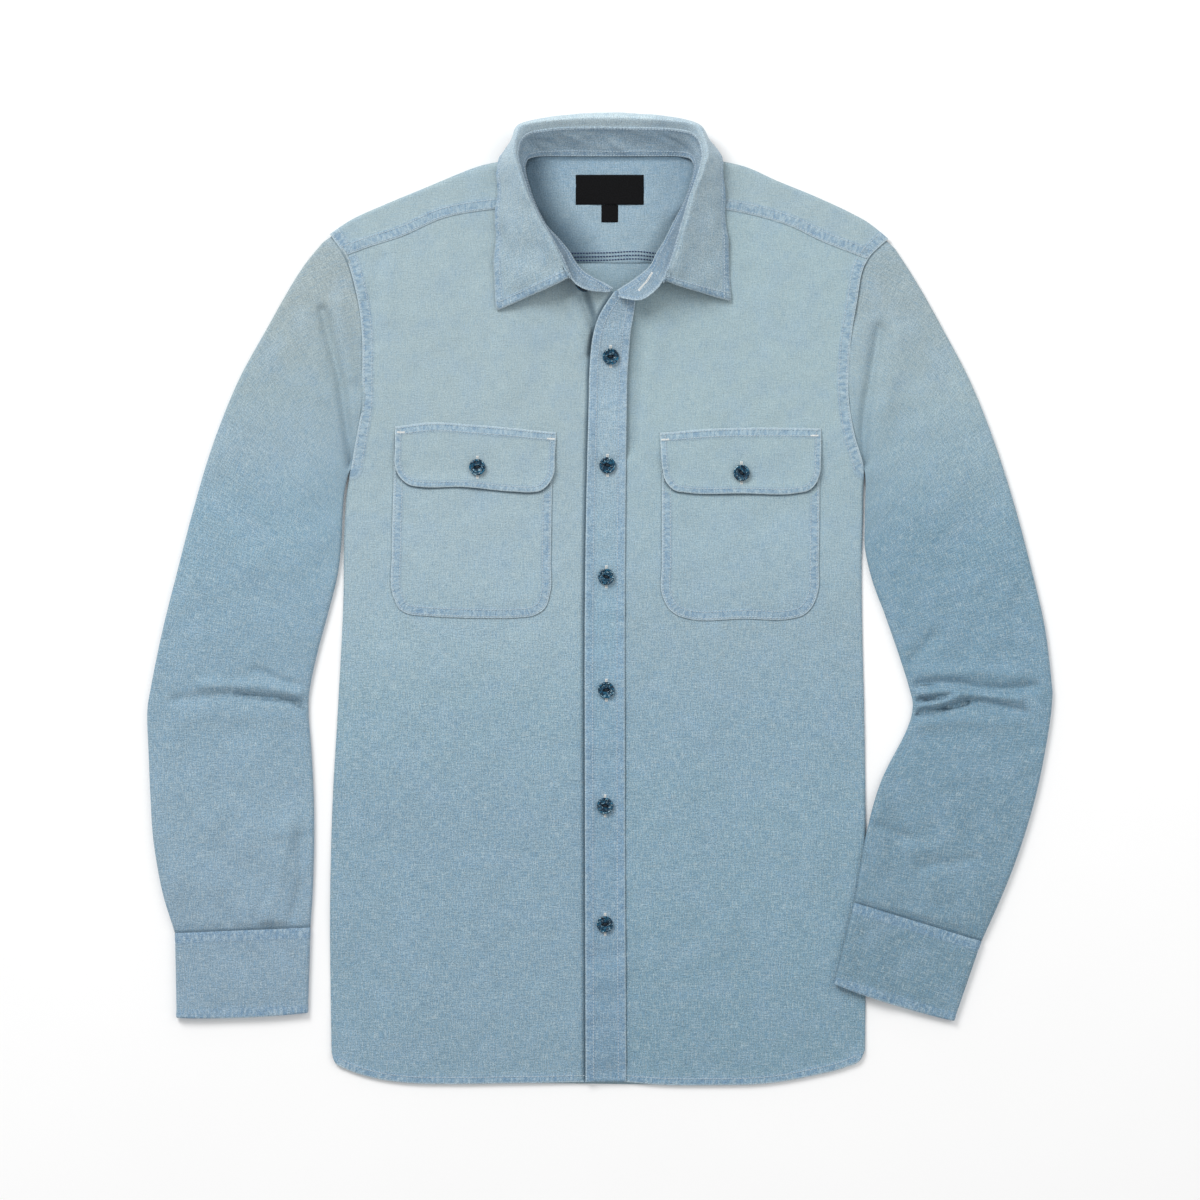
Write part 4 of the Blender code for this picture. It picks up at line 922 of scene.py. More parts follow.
def streaks(tree, weave, wide, long, seed, across=False):
    """Noise stretched along one thread direction: wide and long are the sizes of a streak in mm."""
    scale = (1000 / long, 1000 / wide, 1.0) if across else (1000 / wide, 1000 / long, 1.0)
    stretch = add(tree, "ShaderNodeMapping", {"Scale": scale, "Location": (0.0, 0.0, float(seed))},
                  {"Vector": weave.outputs["Vector"]})
    return add(tree, "ShaderNodeTexNoise", {"Scale": 1.0, "Detail": 1.5, "Roughness": 0.6},
               {"Vector": stretch.outputs["Vector"]}).outputs["Fac"]


def calc(tree, operation, first, second, third=None):
    """A Math node; each term is a number or an output."""
    terms = [term for term in (first, second, third) if term is not None]
    numbers = {i: term for i, term in enumerate(terms) if isinstance(term, (int, float))}
    fed = {i: term for i, term in enumerate(terms) if not isinstance(term, (int, float))}
    return add(tree, "ShaderNodeMath", {"operation": operation, **numbers}, fed).outputs[0]


def share_of(tree, value, low, high, most=1.0):
    """0 at low, most at high, in a straight line between."""
    return add(tree, "ShaderNodeMapRange", {"From Min": low, "From Max": high, "To Max": most},
               {"Value": value}).outputs[0]


def tint(tree, colour, other, amount):
    """Mixes a share of another colour in."""
    mix = add(tree, "ShaderNodeMix", {"data_type": "RGBA", 7: other}, {0: amount, 6: colour})
    return mix.outputs[2]


def cloudy(tree, place, size, seed, detail=3.0):
    """Soft noise of a size in mm."""
    moved = add(tree, "ShaderNodeMapping", {"Location": (seed, seed, 0.0)}, {"Vector": place})
    return add(tree, "ShaderNodeTexNoise", {"Scale": 1000 / size, "Detail": detail, "Roughness": 0.6},
               {"Vector": moved.outputs["Vector"]}).outputs["Fac"]


def chambray(name, dye, blue=0.0, bands=1.0):
    """Chambray with dye given as (y in metres, hex, weave contrast) up the shirt. blue adds to the
    blue threads; bands is how strongly the seams show."""
    material, tree, shader = material_of(
        name, Roughness=0.88, Sheen_Weight=0.10, Sheen_Roughness=0.6, Specular_IOR_Level=0.25)
    place = add(tree, "ShaderNodeTexCoord").outputs["Object"]
    weave = add(tree, "ShaderNodeAttribute", {"attribute_name": "weave"})
    cut = weave.outputs["Vector"]
    seam = add(tree, "ShaderNodeAttribute", {"attribute_name": "seam"})
    _, off, band = add(tree, "ShaderNodeSeparateXYZ", None, {0: seam.outputs["Vector"]}).outputs

    # The dye: a ramp up the shirt, whose border wanders. Its alpha carries the weave's contrast.
    cloud = cloudy(tree, place, 60.0, 3.0, 4.0)
    wander = calc(tree, "MULTIPLY_ADD", cloud, 2 * DYE_RAGGED, -DYE_RAGGED)
    up = add(tree, "ShaderNodeSeparateXYZ", None, {0: place}).outputs["Y"]
    ramp = add(tree, "ShaderNodeValToRGB", None,
               {0: share_of(tree, calc(tree, "ADD", up, wander), DYE_LOW, DYE_HIGH)})
    while len(ramp.color_ramp.elements) < len(dye):
        ramp.color_ramp.elements.new(0.5)
    for element, (y, colour, contrast) in zip(ramp.color_ramp.elements, sorted(dye)):
        element.position = (y - DYE_LOW) / (DYE_HIGH - DYE_LOW)
        element.color = (*srgb(colour)[:3], contrast)
    depth = ramp.outputs["Alpha"]

    # The threads: blue warp, pale weft, and thicker slubs of both. Patches of them fade unevenly.
    warp = streaks(tree, weave, THREAD_WIDE, THREAD_LONG, 1)
    weft = streaks(tree, weave, THREAD_WIDE, THREAD_LONG, 2, across=True)
    slub = streaks(tree, weave, SLUB_WIDE, SLUB_LONG, 3, across=True)
    blue_slub = streaks(tree, weave, SLUB_WIDE, BLUE_SLUB_LONG, 4)
    colour = tint(tree, ramp.outputs["Color"], FADED_PATCH,
                  share_of(tree, cloudy(tree, cut, 26.0, 5.0), 0.46, 0.66, 0.26))

    for other, noise, low, high, most in (  # a colour, where its noise starts and is full, its share
            (BLUE_THREAD, warp, 0.50, 0.74, 0.62 + blue),
            (PALE_THREAD, warp, 0.50, 0.28, 0.42),
            (PALE_THREAD, weft, 0.50, 0.74, 0.34),
            (DEEP_THREAD, weft, 0.50, 0.28, 0.32),
            (ECRU_SLUB, slub, 0.60, 0.78, 0.20),
            (BLUE_THREAD, blue_slub, 0.58, 0.74, 0.34)):
        threads = calc(tree, "MULTIPLY", share_of(tree, noise, low, high, most), depth)
        colour = tint(tree, colour, other, threads)

    # The seams: bluer bands, puckers worn pale, dye left between them, a worn edge, and painted
    # shade next to a neighbour's edge.
    stretch = add(tree, "ShaderNodeMapping", {"Scale": (420.0, 190.0, 1.0)},
                  {"Vector": seam.outputs["Vector"]})
    puckers = add(tree, "ShaderNodeTexNoise",
                  {"Scale": 1.0, "Detail": 2.0, "Roughness": 0.55, "Distortion": 0.4},
                  {"Vector": stretch.outputs["Vector"]}).outputs["Fac"]
    in_band = share_of(tree, band, 0.0, 1.0, bands)
    at_edge = share_of(tree, off, *WORN_EDGE)
    in_painted_shade = calc(tree, "MULTIPLY", share_of(tree, band, 0.0, -1.0), at_edge)
    for other, within, amount in (
            (BAND_BLUE, in_band, 0.34),
            (WORN, in_band, share_of(tree, puckers, 0.50, 0.68, 0.34)),
            (UNWORN, in_band, share_of(tree, puckers, 0.50, 0.34, 0.42)),
            (WORN, in_band, calc(tree, "MULTIPLY", at_edge, 0.60)),
            (PAINTED_SHADE, in_painted_shade, 0.80)):
        colour = tint(tree, colour, other, calc(tree, "MULTIPLY", within, amount))

    # Light and dark specks, strongest where the weave is, and soft clouds of 15 mm.
    mottle = cloudy(tree, cut, MOTTLE, 7.0, 1.0)
    contrast = calc(tree, "MULTIPLY_ADD", depth, 1.5, 0.15)
    light = calc(tree, "MULTIPLY_ADD", calc(tree, "SUBTRACT", mottle, 0.5), contrast, 1.0)
    clouds = calc(tree, "MULTIPLY_ADD", cloudy(tree, cut, 15.0, 9.0), 0.16, -0.08)
    light = calc(tree, "ADD", light, clouds)
    shaded = add(tree, "ShaderNodeVectorMath", {"operation": "SCALE"}, {0: colour, "Scale": light})
    tree.links.new(shaded.outputs[0], shader.inputs["Base Color"])

    grain = calc(tree, "ADD", calc(tree, "ADD", warp, weft), mottle)
    grain = calc(tree, "ADD", grain, calc(tree, "MULTIPLY", calc(tree, "MULTIPLY", puckers, in_band), 2.5))
    bump = add(tree, "ShaderNodeBump", {"Strength": 0.5, "Distance": 0.0004}, {"Height": grain})
    tree.links.new(bump.outputs[0], shader.inputs["Normal"])
    return material


# Heights y in metres, from the hem up, the dye's colour there, and how strongly the weave shows.
BODY_RIGHT = chambray("washed_chambray_right", (
    (-0.34, "#84a0b0", 1.0), (-0.17, "#85a1b1", 1.0), (-0.09, "#8ca8b5", 0.95),
    (-0.02, "#9ab2bc", 0.8), (0.04, "#9fb5be", 0.6), (0.14, "#a0b4ba", 0.45)))
# A darker copy of the right front's colours: painted shade for the side away from the key lamp.
BODY_LEFT_PAINTED_DARKER = chambray("washed_chambray_left", (
    (-0.34, "#7b9aaa", 1.0), (-0.17, "#84a2b1", 1.0), (-0.09, "#88a4b3", 0.95),
    (-0.02, "#93abb6", 0.8), (0.04, "#9ab2bc", 0.6), (0.14, "#9fb5bb", 0.45)))
SLEEVE_RIGHT = chambray("washed_chambray_right_sleeve", (
    (-0.26, "#879fb0", 0.95), (-0.17, "#8aa4b4", 0.95), (-0.06, "#839fb0", 1.0),
    (0.07, "#87a5b5", 0.95), (0.12, "#92a9b5", 0.8), (0.17, "#97abb2", 0.7), (0.24, "#9dabad", 0.7)))
# A darker copy of the right sleeve's colours: painted shade for the side away from the key lamp.
SLEEVE_LEFT_PAINTED_DARKER = chambray("washed_chambray_left_sleeve", (
    (-0.3, "#6c8a9a", 1.0), (-0.22, "#708e9f", 1.0), (-0.06, "#7293a6", 1.0), (0.05, "#7797a8", 1.0),
    (0.11, "#8da7b3", 0.85), (0.17, "#9bb0b7", 0.7), (0.24, "#98a9ae", 0.7)))
TRIM = chambray("washed_chambray_trim", (
    (-0.34, "#7593a8", 1.0), (-0.15, "#809fb3", 1.0), (-0.02, "#88a8b9", 0.95), (0.1, "#98b0bd", 0.8),
    (0.2, "#9ab1bf", 0.85), (0.245, "#8ca1af", 0.9), (0.27, "#7b8f9f", 0.9), (0.335, "#70879a", 0.9),
    (0.352, "#96aab7", 0.9)), blue=0.04, bands=0.75)
# The top stops are paler: a painted highlight where the back of the collar's roll faces the lamp.
COLLAR = chambray("washed_chambray_collar", (
    (0.23, "#9cb1ba", 0.8), (0.34, "#a0b3bc", 0.8), (0.365, "#b2c4cd", 0.8), (0.38, "#c3d5dc", 0.8)))
INSIDE = chambray("unworn_chambray_inside", (
    (0.20, "#8ea7b0", 0.4), (0.262, "#90a8b2", 0.4), (0.275, "#96adb9", 0.6), (0.32, "#95acb9", 0.6),
    (0.36, "#869fb0", 0.7)))
print("finishes so far:", len(bpy.data.materials))

# %% [markdown]
# ## The body
#
# The back lies flat on the table. The fronts lie on it and turn down round its edge at the side
# seams. Their top edges are tucked under the yoke and the left one under the buttonhole band,
# as they are when sewn.

# %% Lines that the body's seams follow
def crossing(armhole):
    """The heights y along an armhole, upwards, and the share of its length at each."""
    y = smooth(armhole, shares(61))[:, 1]
    return y[::-1], shares(61)[::-1]


def armhole_and_side(armhole, side, from_y, inset=0.0):
    """A panel's outer edge: the armhole's curve below from_y, then the side."""
    curve = smooth(armhole, shares(61))
    start = smooth(armhole, np.interp(from_y, *crossing(armhole)))
    lower = [(x + inset, y) for x, y in side]
    return np.vstack([start, curve[curve[:, 1] < from_y][::3][1:], lower])


def line(points, count=90):
    """A smooth curve through the points, as a polyline of even steps."""
    return smooth(points, shares(count))


ARMHOLES = {"right": line(RIGHT_ARMHOLE), "left": line(LEFT_ARMHOLE)}
YOKE_SEAMS = {"right": line(RIGHT_YOKE_SEAM), "left": line(LEFT_YOKE_SEAM)}
HEMS = {"right": line(RIGHT_HEM[1:]), "left": line(LEFT_HEM[1:])}
TUCK, TUCKED_DOWN = 3.0, 0.75  # how far an edge runs under its neighbour, and how much lower


def turned_down(net, height):
    """Height with the side edge turned down to the table, below the underarm: a quarter circle,
    whose height is the root of 1 - (1 - d / SIDE_TURN)^2 at a distance d from the edge."""
    from_edge = np.linalg.norm(net - net[:, :1], axis=2)
    turn = np.sqrt(np.clip(1 - (1 - np.clip(from_edge / SIDE_TURN, 0, 1)) ** 2, 0, 1))
    below = 1 - ease(*TURN_ENDS_Y, net[:, :1, 1])
    return EDGE_OFF_TABLE + (height - EDGE_OFF_TABLE) * (1 - below * (1 - turn))


def raised(net, height):
    """A flat grid with its heights."""
    return np.concatenate([net, np.broadcast_to(height, net.shape[:2])[..., None]], axis=2)


def front_net(armhole, side, neck_and_edge, yoke_seam, hem):
    """A front: a patch from the yoke seam to the hem, its top TUCK mm under the yoke."""
    outer = armhole_and_side(armhole, side, yoke_seam[0][1] + TUCK)
    top = np.vstack([outer[:1], [(x, y + TUCK) for x, y in yoke_seam[1:]]])
    neck_and_edge = np.vstack([top[-1:], neck_and_edge[1:]])
    net = patch(outer, neck_and_edge, top, hem, spread(215.0), spread(700.0))
    from_top = np.linalg.norm(net - net[:1], axis=2)
    height = front_top(net[..., 0], net[..., 1])
    return net, height - TUCKED_DOWN * (1 - ease(TUCK - 1.2, TUCK + 0.4, from_top))


# %% Lines where a neighbour's edge lies on the fronts
def rounded(shape):
    """The outline as one smooth U, cut at its two corners, so that the corners stay round."""
    loop = np.vstack([shape.left, shape.bottom[1:-1], shape.right[::-1]])
    knots = knots_of(loop)
    corners = knots[len(shape.left) - 1], knots[-len(shape.right)]
    left = smooth(loop, np.linspace(0.0, corners[0], 50))
    bottom = smooth(loop, np.linspace(*corners, 60))
    right = smooth(loop, np.linspace(1.0, corners[1], 50))
    return PocketShape(left, right, line(shape.top, 50), bottom)


def sewn_edge(shape):
    """The left side, the bottom and the right side as one line."""
    return np.vstack([shape.left, shape.bottom[1:-1], shape.right[::-1]])


def pocket_edge(side):
    return sewn_edge(rounded(RIGHT_POCKET if side == "right" else LEFT_POCKET))


def painted_shade_beside(edge, dark=0.45, reach=1.0):
    """Painted shade next to a neighbour's edge, which in a narrow groove also stands for unfaded dye: no ridge, only
    darker colour.
    """
    return Seam(edge, PAINTED_SHADOW_REACH * reach, 0.0, dark, (), reach, 1)


# %% The two fronts
def front_piece(side, net_and_height, material, seed, painted_shades):
    """A front with its felled armhole, its hem and painted shade next to what lies on it."""
    net, height = net_and_height
    obj, _ = cloth_piece(
        f"front_{side}_cloth", raised(net, turned_down(net, height)), CLOTH, material, "chambray",
        ["back_cloth"],
        [seam_of("armhole", ARMHOLES[side], seed), seam_of("hem", HEMS[side], seed + 1),
         painted_shade_beside(YOKE_SEAMS[side]), *painted_shades])
    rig.replaces(obj, f"front_{side}")


neck = (RIGHT_YOKE_SEAM[-1], *places_of(STAND[7:0:-1]))
# The right front has painted shade next to the yoke, the band's free edge, the pocket and a crease at the neck.
front_piece(
    "right", front_net(RIGHT_ARMHOLE, RIGHT_SIDE, neck + BUTTON_STRIP_EDGE, RIGHT_YOKE_SEAM, RIGHT_HEM),
    BODY_RIGHT, 11,
    [painted_shade_beside(line(PLACKET_EDGE, 160), 1.0, 2.8), painted_shade_beside(pocket_edge("right")),
     painted_shade_beside(line([(-12.0, 248.0), (-6.5, 232.0), (-3.5, 218.0), (-6.5, 202.0)]), 0.75, 3.2)])

UNDER_BAND = 4.0  # how far the left front runs under the buttonhole band
under_band = [(x - UNDER_BAND, y) for x, y in PLACKET_SEAM]
neck = (LEFT_YOKE_SEAM[-1], *places_of(STAND[23:28]), (28.0, 257.2), (24.8, 253.0))
# The left front has painted shade next to the yoke, the band's seam and the pocket, and a wide soft painted shade
# right of the band.
front_piece(
    "left", front_net(LEFT_ARMHOLE, LEFT_SIDE, neck + tuple(under_band[1:]), LEFT_YOKE_SEAM, LEFT_HEM),
    BODY_LEFT_PAINTED_DARKER, 13,
    [painted_shade_beside(line(PLACKET_SEAM, 160)), painted_shade_beside(pocket_edge("left")),
     painted_shade_beside(line([(31.0, 238.0), (28.0, 215.0), (23.5, 170.0), (21.0, 130.0)]), 0.28, 8.0)])

# %% The buttonhole band
BAND_OVER = 1.6  # height of the band's upper side over the front's
FREE_EDGE_OFF = 1.3  # how far the band's free edge stands off the right front


def band_top(x, y):
    """The band lies over the creases of the fronts beneath it instead of following them."""
    return front_top(x, y) - folded(WORN_FOLDS, x, y) + BAND_OVER


net = patch(PLACKET_EDGE, PLACKET_SEAM, (PLACKET_EDGE[0], (19.0, 250.5), PLACKET_SEAM[0]),
            (PLACKET_EDGE[-1], PLACKET_SEAM[-1]), spread(30.5, 1.2), spread(640.0))
from_free_edge = np.linalg.norm(net - net[:, :1], axis=2)
x, y = net[..., 0], net[..., 1]
standing_off = FREE_EDGE_OFF + uneven(x * 0, y, 60.0, 0.45, 8)
height = band_top(x, y) + standing_off * (1 - ease(0.0, 9.0, from_free_edge))
height = height + uneven(x / 4, y, 21.0, 0.28, 9)
placket, _ = cloth_piece(
    "placket_cloth", raised(net, height), DOUBLED, TRIM, "chambray_doubled",
    ["front_right_cloth", "front_left_cloth"],
    [seam_of("band", line(PLACKET_EDGE, 160), 15), seam_of("band", line(PLACKET_SEAM, 160), 16)])
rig.replaces(placket, "front_placket")

# %% The back
BACK_INSET = 2.3  # mm by which the fronts reach past the back at the sides
top_y = YOKE_BACK_Y - 0.4
right = armhole_and_side(RIGHT_ARMHOLE, RIGHT_SIDE, top_y, BACK_INSET)
left = armhole_and_side(LEFT_ARMHOLE, LEFT_SIDE, top_y, -BACK_INSET)
hem = np.vstack([right[-1:], (-209.9, -371.0), RIGHT_HEM[2:-1], LEFT_HEM[-2:1:-1], (205.9, -369.0),
                 left[-1:]])
rows = np.concatenate([np.linspace(0.0, 0.06, 29), np.linspace(0.07, 1.0, 96)])
net = patch(right, left, (right[0], (0.0, top_y), left[0]), hem, shares(121), rows)
x, y = net[..., 0], net[..., 1]
soft = 0.12 * ease(0.0, 12.0, top_y - y) * (1 + uneven(x, y, 30.0, 0.8, 6))
back, _ = cloth_piece("back_cloth", raised(net, CLOTH + np.clip(soft, 0.0, None)), CLOTH, INSIDE,
                      "chambray", ["the table"])
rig.replaces(back, "back")

# %% [markdown]
# ## The yoke
#
# One piece covers the shoulders: it starts at the front seam, folds over at the shoulder and
# runs back on the table. Its three grids are welded into one cloth. Inside the neck a second
# layer, the facing, hides the seam to the back and carries the label.

# %% The yoke
FOLD_ANGLES = np.radians(np.linspace(90, -90, 11))
FRONT_SHARES, BACK_SHARES = shares(22)[:-1] * 0.999, shares(46)[1:]
across_shoulder, across_neck = spread(152.0), spread(133.0)
TO_STAND = 0.976  # the neck edge ends under the stand, out of sight


def shoulder_net(seam, shoulder, armhole, back_ends, columns):
    """From the seam to the fold on the front's height, half a circle round it, then to the back."""
    seam, fold = smooth(seam, columns * TO_STAND), smooth(shoulder, columns * TO_STAND)
    back_line = np.stack([np.interp(columns, (0, 1), back_ends), np.full(len(columns), YOKE_BACK_Y)], 1)
    over = unit(fold - seam)
    high = front_top(fold[:, 0], fold[:, 1])[:, None]
    radius = high / 2
    centre = fold - over * radius
    rows = []
    for share in FRONT_SHARES:
        place = seam + (centre - seam) * share
        rows.append(np.hstack([place, front_top(place[:, 0], place[:, 1])[:, None]]))
    for angle in FOLD_ANGLES:
        place = centre + over * radius * math.cos(angle)
        rows.append(np.hstack([place, radius * (1 + math.sin(angle))]))
    for share in BACK_SHARES:
        place = centre + (back_line - centre) * share
        rows.append(np.hstack([place, np.zeros((len(place), 1))]))
    net = np.stack(rows)
    tuck = 6.0 * (1 - net[..., 2] / high[:, 0]) * ease(0.7, 1.0, columns)
    net[..., 0] -= np.sign(back_ends[1]) * tuck
    heights, along = crossing(armhole)
    at_armhole = smooth(armhole, np.interp(net[:, 0, 1], heights, along))[:, 0]
    net[..., 0] += (at_armhole - net[:, 0, 0])[:, None] * (1 - ease(0.0, 0.12, columns))
    return net


right_shoulder = shoulder_net(RIGHT_YOKE_SEAM, RIGHT_SHOULDER, RIGHT_ARMHOLE, (-204.0, -59.0),
                              across_shoulder)
left_shoulder = shoulder_net(LEFT_YOKE_SEAM, LEFT_SHOULDER, LEFT_ARMHOLE, (214.0, 74.0),
                             across_shoulder)
lowest = len(FRONT_SHARES) + len(FOLD_ANGLES) - 1
from_right, from_left = right_shoulder[lowest:, -1:], left_shoulder[lowest:, -1:]
share = across_neck[None, :, None]
middle = from_right * (1 - share) + from_left * share
from_corner = np.minimum(1.0, np.minimum(across_neck, 1 - across_neck) / 0.06)
fade = np.clip(1 - shares(len(middle)) / 0.5, 0.0, 1.0)[:, None] ** 1.3
middle[..., 1] += np.sqrt(1 - (1 - from_corner) ** 2) * (NECK_BACK_Y - middle[0, :, 1]) * fade

yoke_bands = [
    seam_of("yoke", YOKE_SEAMS["right"], 17), seam_of("yoke", YOKE_SEAMS["left"], 18),
    seam_of("armhole", ARMHOLES["right"], 11), seam_of("armhole", ARMHOLES["left"], 13),
]
points, faces, bands, worn, first = [], [], [], [], 0
for net in (right_shoulder, left_shoulder[:, ::-1], middle):
    relief, fields = seam_fields(yoke_bands, net[..., 0], net[..., 1])
    normal = normals_of(net)
    relief = relief * ease(0.2, 0.5, normal[..., 2])
    net = net + normal * relief[..., None]
    worn.append(net)
    points.append(net.reshape(-1, 3))
    bands.append(fields.reshape(-1, 3))
    faces.append(quads(first + np.arange(net[..., 0].size).reshape(net.shape[:2])))
    first += net[..., 0].size
points = np.vstack(points)
weave = points[:, [1, 0, 2]] * (MM, MM, 0.0)
yoke = piece_of("yoke_cloth", points, faces, BODY_RIGHT, {"seam": np.vstack(bands), "weave": weave})
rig.slot(yoke, "chambray_doubled")
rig.replaces(yoke, "yoke")
welded = yoke.modifiers.new("Sewn", "WELD")
welded.merge_threshold = 0.02 * MM
walled = yoke.modifiers.new("Cloth", "SOLIDIFY")
walled.thickness = DOUBLED * MM
walled.offset = -1.0
yoke_width = sum(cut_size(net)[0][0] for net in (right_shoulder[lowest:], middle, left_shoulder[lowest:]))
yoke_length = cut_size(right_shoulder)[0][1]
yoke_area = sum(cut_size(net)[1] for net in (right_shoulder, middle, left_shoulder))
declared.append(dict(obj=yoke, flat=(yoke_width, yoke_length), held="laid", rests_on=["the table"],
                     area=min(yoke_area, yoke_width * yoke_length)))
upper_rows = len(FRONT_SHARES) + len(FOLD_ANGLES) // 2
for name, net, seams in zip(("yoke_right", "yoke_left"), worn, (yoke_bands[::2], yoke_bands[1::2])):
    upper_side = net[:upper_rows]
    sewn.append((name, yoke, upper_side, upper_side[..., :2], seams, "chambray_doubled"))
print("yoke points:", len(points))

# %% The facing inside the neck
FACING_LOWER_Y = 269.6
FACING_OVER = DOUBLED + CLOTH + 0.05
BELOW_STAND = 2.2  # beside the neck the facing rises to this far under the fronts' height
columns, rows = spread(150.0), spread(86.5)
net = patch(((-62.0, 354.5), (-66.0, FACING_LOWER_Y)), ((78.0, 354.5), (84.0, FACING_LOWER_Y)),
            ((-62.0, 354.5), (8.0, 355.0), (78.0, 354.5)),
            ((-66.0, FACING_LOWER_Y), (8.0, FACING_LOWER_Y), (84.0, FACING_LOWER_Y)), columns, rows)
x, y = net[..., 0], net[..., 1]
height = FACING_OVER - 0.55 * (1 - ease(272.5, 276.0, y)) + np.abs(uneven(x, y, 30.0, 0.22, 7))
right_neck = np.array(places_of(STAND[4:12])).T
left_neck = np.array(places_of(STAND[25:18:-1])).T
to_stand = np.minimum(x - np.interp(y, *right_neck[::-1]), np.interp(y, *left_neck[::-1]) - x)
rising = (1 - ease(0.5, 9.0, to_stand)) * ease(300.0, 318.0, y) * (1 - ease(343.0, 353.0, y))
height = height + rising * (packed_top(x, y) - BELOW_STAND - height)
# The facing takes painted shade next to the stand: wide on the left, narrow along the back, medium on the right.
cloth_piece(
    "yoke_facing", raised(net, height), CLOTH, INSIDE, "chambray_doubled", ["yoke_cloth"],
    [painted_shade_beside(line(places_of(STAND[4:12])), 0.95, 19.0),
     painted_shade_beside(line([(-57.0, 354.0), (74.0, 354.0)]), 0.8, 2.6),
     painted_shade_beside(line(places_of(STAND[19:27])), 0.45, 8.0)], turned=True)

# %% [markdown]
# ## Sleeves and cuffs
#
# A sleeve is a flattened tube: rings between its two folds. The first rings follow the armhole
# and run under the body's edge; the last run into the cuff. The left sleeve climbs on to the
# body's side near its cuff, as in the photo.

# %% Sleeves
def lift(x, y):
    """How far the left sleeve is raised to lie on the body's side."""
    on_body = packed_top(np.minimum(x, HALF_CHEST + 1), y) + 0.5
    along = 1 - ease(LIFT_FULL_Y, LIFT_FROM_Y, y)
    return on_body * (1 - ease(LIFT_FULL_X, LIFT_DONE_X, x)) * along


def on_table(x, y):
    """What lies on the table is raised nowhere; it takes (x, y) as lift does."""
    return np.zeros_like(x + y)


EDGE_TURNS = 7  # places round each fold of a flattened tube
SLEEVE_OVER, SLEEVE_UNDER = 94, 16  # places across a sleeve's upper and lower side
CUFF_OVER, CUFF_UNDER = 78, 12
UPPER_SIDE = slice(EDGE_TURNS // 2, EDGE_TURNS + SLEEVE_OVER)  # a sleeve's columns that are seen
LEAST_HIGH = 1.4  # mm: the flattest that a crease may press a sleeve
# The sleeve's first sections: over how many it bends to the armhole and takes the front's height,
# over what part of one it is tucked in, and how much lower it is there.
BEND_SECTIONS, HEIGHT_SECTIONS, TUCK_SECTIONS, SLEEVE_DOWN = 5.0, 1.6, 0.22, 0.95


def ring(width, edge_high, over, under):
    """Places round a flattened tube, as (distance from the outer fold, share of the height)."""
    radius = edge_high / 2
    angles = np.radians(np.linspace(90, -90, EDGE_TURNS))
    turn = np.column_stack([radius * (1 - np.cos(angles)), (1 + np.sin(angles)) / 2])
    top = [(d, 1.0) for d in np.linspace(radius, width - radius, over + 2)[1:-1]]
    low = [(d, 0.0) for d in np.linspace(width - radius, radius, under + 2)[1:-1]]
    return np.vstack([turn[::-1], top, turn * (-1, 1) + (width, 0), low])


def even_sections(table, step):
    """Places along a sleeve's table that lie evenly on its middle line, and a first short step."""
    fine = np.linspace(0.0, len(table) - 1, 400)
    edges = smooth(table, fine, np.arange(len(table)))
    return evenly(run_of((edges[:, :2] + edges[:, 2:]) / 2), fine, step)


INTO_CUFF = 4.0  # how far the sleeve runs into its cuff


def sleeve_net(table, armhole, outward, folds, base, seed):
    """Rings between the outer and inner fold; the first follow the armhole and are tucked in."""
    rings = []
    straight = np.array([armhole[0], armhole[-1]])
    last = len(table) - 1
    sections = even_sections(table, 1.4)
    for section, edge in zip(sections, smooth(table, sections, np.arange(len(table)))):
        outer, inner = edge[:2], edge[2:]
        width = np.linalg.norm(inner - outer)
        around = ring(width, SLEEVE_EDGE_HIGH, SLEEVE_OVER, SLEEVE_UNDER)
        share = around[:, 0] / width
        place = outer + (inner - outer) * share[:, None]
        bend = max(0.0, 1 - section / BEND_SECTIONS) ** 2
        chord = straight[0] + (straight[1] - straight[0]) * share[:, None]
        place = place + bend * (smooth(armhole, share) - chord)
        place[:, 0] -= outward * TUCK * (1 - ease(0.0, 0.25, section))
        x, y = place[:, 0], place[:, 1]
        puff = SLEEVE_EDGE_HIGH + (SLEEVE_HIGH - SLEEVE_EDGE_HIGH) * (1 - (2 * share - 1) ** 4)
        at_armhole = 1 - ease(0.0, HEIGHT_SECTIONS, section)
        high = puff * (1 - at_armhole) + front_top(x, y) * at_armhole
        high = high - SLEEVE_DOWN * (1 - ease(0.0, TUCK_SECTIONS, section))
        fade = ease(0.0, 9.0, np.minimum(around[:, 0], width - around[:, 0]))
        soft = uneven(x, y, 70.0, 0.55, seed) + uneven(x, y, 27.0, 0.22, seed + 1)
        high = np.maximum(high + (folded(folds, x, y) + soft) * fade, LEAST_HIGH)
        into = ease(last - 0.22, last - 0.02, section)
        high = high * (1 - into) + (CUFF_HIGH - 2 * DOUBLED - 0.2) * into
        z = base(x, y) + DOUBLED * into + around[:, 1] * high
        rings.append(np.column_stack([place, z]))
    net = np.stack(rings)
    net[-1] += unit(net[-1] - net[-8]) * INTO_CUFF * (1, 1, 0)
    return net


def unrolled(net):
    """The (x, y) of each point of a tube's cut: the length across and along the grid."""
    across = np.cumsum(np.linalg.norm(np.diff(net, axis=1, prepend=net[:, :1]), axis=2), axis=1)
    along = np.cumsum(np.linalg.norm(np.diff(net, axis=0, prepend=net[:1]), axis=2), axis=0)
    return across, -along


